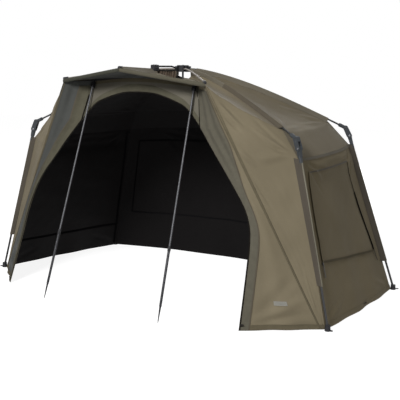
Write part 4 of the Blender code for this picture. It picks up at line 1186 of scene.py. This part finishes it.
    # The seam between gore and wing, hems and the tape along the eave
    t = np.linspace(0, 1, 90)
    beside = gore.at(0.03, GORE_TIP_MARK + (1 - GORE_TIP_MARK) * t, 0.0014)
    grid = flap_between(wing.at(1 - 0.011 / wing.span(t), t, 0.0014), beside, 0.003)
    sew("diagonal_seam", "wing", grid, HEM, THIN, on="gore")
    sew("wing_hem", "wing", wing.band("bottom", 0.0, 0.03, 0.002), HEM)
    sew("gore_hem", "gore", gore.band("bottom", 0.0, 0.028, 0.002, 0.05, 0.95), HEM)
    sew("wall_hem", "wall", wall.band("bottom", *HEM_BAND), FLAP)
    sew("eave_tape", "wall", wall.band("top", *EAVE_BAND, 0.03, 0.97), SLEEVE, STOUT)

    # Window zips, with a stitched seam below
    a, b, c, d = WINDOW
    for label, marks, width, material in (
        ("top", (a, b), 0.009, BROWN_CLOTH_AND_PAINTED_SHADE),
        ("rear_upper", (b, REAR_ZIP_BEND), 0.009, ZIP),
        ("rear", (REAR_ZIP_BEND, c), 0.022, ZIP),
        ("front", (a, d), 0.01, FLAP),
        ("low", (d, c), 0.012, HEM),
        ("rear_pull", ((0.872, 0.7), (0.885, 0.775)), 0.008, WEBBING),
    ):
        sew(f"window_{label}", "window", wall.ribbon(marks, width, WINDOW_TAPE_LIFT), material)

    # Inner seam tapes, peg loops and the label
    t = np.linspace(0.02, 0.98, 60)
    for label, place_on, place_beside in (
        ("inner_tape_front", (0.018, t), (0.034, t)),
        ("inner_tape_rear", (0.982, t), (0.966, t)),
        ("inner_mud_tape", (t, 0.8), (t, 0.816)),
    ):
        line, beside = wall.at(*place_on, INNER_LIFT), wall.at(*place_beside, INNER_LIFT)
        grid = np.stack([line, (line + beside) / 2, beside], axis=1)
        sew(label, "wall", grid, INNER_TAPE, INNER, -outward(line[30]), None)
    reach, drop, half = PEG_LOOP
    for like, panel, u in (("wall", wall, 0.52), ("wing", wing, 0.03)):
        base = panel.at(u, 0.985, 0.004)
        out = unit(panel.at(u, 0.985, 0.05) - base)
        along = unit(panel.at(u + 0.02, 0.985, 0.004) - base)
        bend = np.linspace(0, math.pi, 11)[:, None]
        loop = base + out * reach * np.sin(bend) - UP * (drop * (1 - np.cos(bend)) / 2 - 0.014)
        grid = np.stack([loop - along * half, loop, loop + along * half], axis=1)
        sew(f"peg_loop_{like}", like, grid, WEBBING, STOUT, out, None)
    if sign > 0:
        corners = ((0.472, 0.888), (0.668, 0.888), (0.668, 0.905), (0.472, 0.905))
        body, soft = carrier("wing", name, sign)
        grid = wing.quad(corners, 0.003, 0.005)
        strip("plain_label", grid, LABEL, body, THIN, soft=soft, on=f"wing_{name}")
    side_frame(name, sign)
    return visor


def rear():
    """The halves of the rear roof, wall and window cover, with their hems and seams."""
    high, low = REAR_WINDOW_DOWN
    for (name, sign), over, outer in zip(SIDES, ((0.0, 0.5), (0.5, 1.0)), REAR_WINDOW_ACROSS):
        body, soft = carrier("rear_roof", name, sign)
        roof, wall, window = (f"rear_{label}_{name}_sheet" for label in ("roof", "wall", "window"))
        sheet(roof, REAR_ROOF.grid(over), body, f"rear_roof_{name}", "stretched", body, OLIVE, soft)
        body, soft = carrier("rear_wall", name, sign)
        sheet(wall, REAR_WALL.grid(over), body, "rear_wall", "hung", body, WALL_CLOTH_PAINTED_SHADE, soft)
        grid = REAR_WALL.grid(sorted((outer, 0.5)), REAR_WINDOW_DOWN, WINDOW_LIFT)
        sheet(window, grid, body, "rear_window", "hung", wall, FLAP, soft)
        for label, marks, material in (
            ("top", ((outer, high), (0.5, high)), ZIP),
            ("side", ((outer, high), (outer, low)), ZIP),
            ("low", ((outer, low), (0.5, low)), HEM),
        ):
            grid = REAR_WALL.ribbon(marks, 0.011, 0.0072)
            strip(f"rear_window_{label}_{name}", grid, material, body, soft=soft, on=window)
            grid = REAR_WALL.ribbon(marks, 0.01, -0.003)
            strip(f"rear_inner_{label}_{name}", grid, INNER_TAPE, body, INNER, (0.0, -1.0, 0.0), soft)
        grid = REAR_WALL.band("bottom", *HEM_BAND, *over)
        strip(f"rear_hem_{name}", grid, HEM, body, soft=soft, on=wall)
        grid = REAR_WALL.band("top", *EAVE_BAND, *np.clip(over, 0.02, 0.98))
        strip(f"rear_eave_tape_{name}", grid, HEM, body, STOUT, soft=soft, on=wall)


def doorway(panel):
    """The band over the doorway, with its zip flange and the tape along its top."""
    name, body = "door_header_band", "centre_rib"
    soft = ("centre_rib_fold", (1.0, 0.0, 0.0), tuple(float(c) for c in HUB), 0.4)
    sheet(name, panel.grid(), body, "door_header", "stretched", body, HEADER_CLOTH_PAINTED_SHADE, soft)
    for label, edge, band, material in (
        ("flange", "bottom", (0.001, 0.052, 0.0022), FLANGE_PAINTED_SHADE),
        ("zip", "bottom", ZIP_BAND, ZIP),
        ("tape", "top", (0.001, 0.022, 0.0024), HEM),
    ):
        grid = panel.band(edge, *band, steps=110)
        strip(f"door_header_{label}", grid, material, body, CLOTH, (0.0, -1.0, 0.0), soft, name)


def centre_sleeve(visors):
    """The pocket over the centre rib's outer pole."""
    start = arm_end() + CENTRE_BLOCK_LENGTH * outward(CENTRE_TIP) - CENTRE_POLE_DROP * UP
    line = start + (CENTRE_TIP - start) * np.linspace(0.02, 0.955, 40)[:, None]
    centre = SEAM["centre"]
    v = np.interp(off_axis(line), off_axis(centre), np.linspace(0, 1, len(centre)))
    grid = sleeve_grid(line, *(visor.at(0.1, v, 0.0012) for visor in visors), 0.0078, UP)
    strip("centre_rib_sleeve", grid, SLEEVE, "centre_rib", THIN, UP)


def gathered_panel(name, sign):
    """The upright gathered strip under the bare arm, from the visor to an elastic edge."""
    body, soft = carrier("visor", name, sign)
    name, on = f"gathered_panel_{name}", f"visor_{name}"
    t = np.linspace(0, 1, 150)
    run = (PLEATED_RUN[0] + (PLEATED_RUN[1] - PLEATED_RUN[0]) * t)[:, None]
    foot = HUB + run * outward(CENTRE_TIP) - (VISOR_HOLE_DROP - 0.001) * UP
    pleat = np.sin(t * math.tau * PLEATS + 0.6 * np.sin(t * 19)) * (0.75 + 0.25 * np.cos(t * 31))
    columns = []
    for share in np.linspace(0, 1, 9):
        bulge = 0.01 + PLEAT_DEPTH * pleat * (0.25 + 0.75 * share)
        height = PLEATED_HEIGHT * share - 0.004 * share * np.sin(math.pi * t)
        columns.append(foot + sign * bulge[:, None] * RIGHT + height[:, None] * UP)
    out = (sign, -0.4, 0.0)
    strip(name, np.stack(columns, axis=1), PLEAT, body, THIN, out, soft, on)
    top = columns[-1] + RIGHT * sign * 0.0014
    edge = np.stack([top - UP * 0.004, top + RIGHT * sign * 0.001, top + UP * 0.005], axis=1)
    strip(f"{name}_binding", edge, BINDING, body, 0.0022, out, soft, on)


def cutout_binding(name, sign):
    """The bound edge of the side roof, round the opening at the hub."""
    arc = mirrored(hole_arc(SEAM["front_rib"][0], SEAM["rear_rib"][0]), sign)
    under = arc - UP * 0.004 - unit((arc - HUB) * (1, 1, 0)) * 0.003
    grid = np.stack([arc, arc + UP * 0.004, under], axis=1)
    strip(f"cutout_binding_{name}", grid, BINDING, "hub", CLOTH, UP, on=f"roof_front_{name}")


# ---- the frame

# Turned parts, as (distance along the axis, radius) pairs
TIP_CAP = (
    (-0.03, 0.0064), (-0.0298, 0.0088), (-0.028, 0.0095), (-0.008, 0.0095),
    (0.0, 0.0092), (0.0028, 0.0076), (0.004, 0.005), (0.0042, 0.0015),
)
HUB_DOME = (
    (0.0, 0.0395), (0.0012, 0.04), (0.0034, 0.0396), (0.005, 0.038),
    (0.0059, 0.035), (0.006, 0.03), (0.0056, 0.0285), (0.0056, 0.01),
)
HUB_SCREW = ((0.0, 0.0075), (0.0016, 0.0075), (0.0026, 0.0062), (0.0028, 0.003), (0.0018, 0.0012))
PIN_HEAD = ((0.0, 0.0062), (0.0016, 0.0062), (0.0026, 0.0048), (0.003, 0.002))
CLAMP_SCREW = ((0.0, 0.004), (0.0012, 0.004), (0.0018, 0.003), (0.002, 0.0012))
BLOCK_SCREW = ((0.0, 0.005), (0.0012, 0.005), (0.0018, 0.0036), (0.0019, 0.0012))
STORM_LENGTH = float(np.linalg.norm(STORM_FOOT - STORM_TOP))
STORM_SHOULDER = STORM_LENGTH - STORM_SPIKE_LENGTH
STORM_ROD = (
    (-0.007, 0.003), (-0.0055, 0.0052), (0.0, 0.0064), (0.012, 0.0062),
    (0.02, STORM_UPPER_RADIUS), (STORM_UPPER_END, STORM_UPPER_RADIUS),
)
STORM_TUBE = [
    *((start, share * STORM_LOWER_RADIUS) for start, share in (
        (STORM_LOWER_START, 0.8), (STORM_LOWER_START + 0.0004, 0.94), (STORM_LOWER_START + 0.0016, 1.0),
        (STORM_SHOULDER - 0.002, 1.0), (STORM_SHOULDER, 0.92), (STORM_SHOULDER + 0.004, 0.78),
    )),
    (STORM_LENGTH - 0.012, 0.0026), (STORM_LENGTH, 0.0012),
]
STORM_COLLAR_START = STORM_LOWER_START - 0.0304
STORM_COLLAR = (
    (0.0, 0.0062), (0.0006, 0.0078), (0.006, 0.0086), (0.009, 0.0092),
    (0.026, 0.0092), (0.0285, 0.0086), (0.03, 0.008),
)


def dress_cad():
    """Gives every node that stays its finished material."""
    finish = {"zip_slider": ZIP_METAL, "knuckle": GREY_PLASTIC, "centre_rib_arm": POLE, "hub_stem": POLE}
    for name, obj in frame["nodes"].items():
        material = next((found for key, found in finish.items() if key in name), PLASTIC)
        for slot in obj.material_slots:
            slot.material = material
        if not obj.material_slots:
            obj.data.materials.append(material)


def side_frame(name, sign):
    """Round poles, end caps, screws and storm poles of one side, in place of the solids."""
    for end, tip, pin, foot in (
        ("front", FRONT_ELBOW, FRONT_PIN, FRONT_FOOT),
        ("rear", REAR_ELBOW, REAR_PIN, REAR_FOOT),
    ):
        tip, pin, foot = (mirrored(point, sign) for point in (tip, pin, foot))
        rib, leg = f"{end}_rib_{name}", f"{end}_leg_{name}"
        bar(f"{end}_rib_pole_{name}", rib_line(tip, MAIN_BOW, 36), RIB_RADIUS, POLE, rib, rib)
        down = unit(foot - pin)
        points = [pin + down * 0.055, foot - down * 0.008]
        bar(f"{end}_leg_pole_{name}", points, LEG_RADIUS, POLE, leg, f"{end}_{name}_leg")
        axis = unit(across(pin) + np.cross(UP, unit((foot - pin) * (1.0, 1.0, 0.0))))
        for number, turn in enumerate((1.0, -1.0)):
            out = axis * turn * (CHEEK_WIDTH / 2 - 0.0004)
            head, screw = f"{end}_{name}_pin_head_{number}", f"{end}_{name}_clamp_screw_{number}"
            turned(head, pin + out, axis * turn, PIN_HEAD, BRIGHT, rib, sides=18)
            turned(screw, tip + out + UP * 0.001, axis * turn, CLAMP_SCREW, POLE, rib, sides=14)
    tip, rib = mirrored(PEAK_TIP, sign), f"peak_rib_{name}"
    line = rib_line(tip, PEAK_BOW, 24)
    bar(f"peak_pole_{name}", line, RIB_RADIUS, PALE_POLE, rib, rib)
    direction = unit(line[-1] - line[-2])
    turned(f"peak_cap_{name}", tip, direction, TIP_CAP, PLASTIC, rib, f"peak_tip_cap_{name}", 28)

    top, foot = mirrored(STORM_TOP, sign), mirrored(STORM_FOOT, sign)
    down = unit(foot - top)
    for label, start, profile, material, part, node in (
        ("rod", 0.0, STORM_ROD, STORM_UPPER, "upper", "upper"),
        ("tube", 0.0, STORM_TUBE, STORM_LOWER, "lower", "lower"),
        ("lock", STORM_COLLAR_START, STORM_COLLAR, PLASTIC, "lower", "collar"),
    ):
        body, node = f"storm_{part}_{name}", f"storm_pole_{node}_{name}"
        turned(f"storm_{label}_{name}", top + down * start, down, profile, material, body, node)
    hanging = top + np.array((0.012 * sign, 0.02, 0.006))
    t = np.linspace(0, 1, 15)[:, None]
    drop = hanging + t * np.array((0.002 * sign, 0.004, -0.128))
    drop = drop + 0.004 * np.sin(5 * t) * np.array((0.3 * sign, -1.0, 0.0))
    wide = 0.009 * np.array((0.55 * sign, -0.83, 0.0))
    grid = np.stack([drop - wide, drop, drop + wide], axis=1)
    strip(f"storm_strap_{name}", grid, WEBBING, "hub", 0.0018, (0.8 * sign, -0.5, 0.0))


def arm_end():
    return HUB + CENTRE_ARM_END * outward(CENTRE_TIP) + CENTRE_ARM_RISE * UP


def hub_details():
    """The centre rib's pole, cap, screws and rails, and the hub's cap and screw."""
    forward, end, rib = outward(CENTRE_TIP), arm_end(), "centre_rib"
    start = end + forward * (CENTRE_BLOCK_LENGTH + 0.0008) - CENTRE_POLE_DROP * UP
    bar("centre_pole", [start, CENTRE_TIP], RIB_RADIUS, POLE, rib, "centre_rib_pole")
    along = unit(CENTRE_TIP - start)
    turned("centre_cap", CENTRE_TIP, along, TIP_CAP, PLASTIC, rib, "centre_tip_cap", 28)
    top = HUB + 0.0184 * UP
    turned("hub_dome", top, UP, HUB_DOME, PLASTIC, "hub", "hub_cap", 36)
    turned("hub_screw", top + 0.0052 * UP, UP, HUB_SCREW, BRIGHT, "hub")
    for k in range(2):
        seat = end + forward * (0.014 + 0.024 * k) + UP * 0.0108
        turned(f"block_screw_{k}", seat, UP, BLOCK_SCREW, BRIGHT, rib, sides=16)
    for number, aside in enumerate((-0.0155, 0.0155)):
        line = [end + forward * reach - UP * 0.01 + RIGHT * aside for reach in (0.004, 0.048)]
        bar(f"block_rail_{number}", line, 0.0022, GREY_PLASTIC, rib, sides=10)


# ---- camera and light

WHITE = (1.0, 1.0, 1.0, 1.0)
CAMERA_PLACE = (3.473, -4.882, 1.472)
CAMERA_TURN, CAMERA_PITCH, CAMERA_ROLL = (math.radians(a) for a in (35.68, 8.65, 0.7))
CAMERA_LENS = 82.93
CAMERA_SHIFT = (0.049, -0.00085)
LAMPS = (
    ("key", (1.2, -6.9, 4.6), 2.2, 600.0),
    ("fill", (6.0, -3.0, 3.0), 4.0, 45.0),
    ("back", (-2.2, 7.0, 2.2), 4.0, 190.0),
)
LAMPS_AIM = (0.0, 0.0, 0.8)


def seen_directly(tree):
    """One for rays from the camera, mirror-like and see-through rays, and zero for the light's own."""
    paths = add(tree, "LightPath").outputs
    seen = maths(tree, "MAXIMUM", paths["Is Camera Ray"], paths["Is Glossy Ray"])
    return maths(tree, "MAXIMUM", seen, paths["Is Transmission Ray"])


def empty_tree(owner):
    owner.use_nodes = True
    owner.node_tree.nodes.clear()
    return owner.node_tree


def camera_and_light():
    """The photo's camera, three lamps, a white backdrop and a pale floor."""
    scene = bpy.context.scene
    scene.view_settings.view_transform = "Standard"
    level = np.array((math.cos(CAMERA_TURN), math.sin(CAMERA_TURN), 0.0))
    ahead = math.cos(CAMERA_PITCH) * np.cross(UP, level) - math.sin(CAMERA_PITCH) * UP
    above = np.cross(level, ahead)
    right = level * math.cos(CAMERA_ROLL) + above * math.sin(CAMERA_ROLL)
    up = above * math.cos(CAMERA_ROLL) - level * math.sin(CAMERA_ROLL)
    data = bpy.data.cameras.new("photo_camera")
    data.lens, data.sensor_width, data.clip_end = CAMERA_LENS, 36.0, 100.0
    data.shift_x, data.shift_y = CAMERA_SHIFT
    camera = linked("photo_camera", data)
    towards = Matrix([right, up, -ahead]).transposed().to_4x4()
    camera.matrix_world = Matrix.Translation(CAMERA_PLACE) @ towards
    scene.camera = camera

    for label, seat, size, power in LAMPS:
        light = bpy.data.lights.new(label, "AREA")
        light.shape, light.size, light.energy = "DISK", size, power
        lamp = linked(label, light)
        lamp.location = seat
        lamp.rotation_euler = (Vector(LAMPS_AIM) - Vector(seat)).to_track_quat("-Z", "Y").to_euler()

    scene.world = bpy.data.worlds.new("studio")
    tree = empty_tree(scene.world)
    strength = spread(tree, seen_directly(tree), 0.0, 1.0, 0.3, 1.0)
    back = add(tree, "Background", Color=WHITE, Strength=strength)
    add(tree, "OutputWorld", Surface=back.outputs[0])

    bm = bmesh.new()
    bmesh.ops.create_grid(bm, x_segments=8, y_segments=8, size=14.0)
    mesh = bpy.data.meshes.new("floor")
    bm.to_mesh(mesh)
    bm.free()
    material = bpy.data.materials.new("pale_floor")
    tree = empty_tree(material)
    bright = maths(tree, "MULTIPLY", seen_directly(tree), 0.88)
    glow = add(tree, "Emission", Color=WHITE, Strength=bright)
    matt = add(tree, "BsdfDiffuse", Color=(0.36, 0.36, 0.36, 1.0))
    both = add(tree, "AddShader", i0=glow.outputs[0], i1=matt.outputs[0])
    add(tree, "OutputMaterial", Surface=both.outputs[0])
    mesh.materials.append(material)
    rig.stage(linked("floor", mesh))


camera_and_light()
dress_cad()
REAR_ROOF, REAR_WALL = (Sheet(*found) for found in rear_surfaces())
VISORS = [side(name, sign) for name, sign in SIDES]
rear()
doorway(Sheet(*header_surface()))
centre_sleeve(VISORS)
hub_details()
for NAME, SIGN in SIDES:
    gathered_panel(NAME, SIGN)
    cutout_binding(NAME, SIGN)

for obj, flat, area, held, rests_on in SHEETS:
    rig.sheet(obj, flat, held, rests_on, area, SEWN.get(obj.name, []))
    print("sheet", obj.name, flat, area, len(SEWN.get(obj.name, [])))

LOW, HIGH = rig.bounds()
with open("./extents.json", "w") as out:
    json.dump({"cad": [list(CAD_BOX[0]), list(CAD_BOX[1])], "visual": [list(LOW), list(HIGH)]}, out)
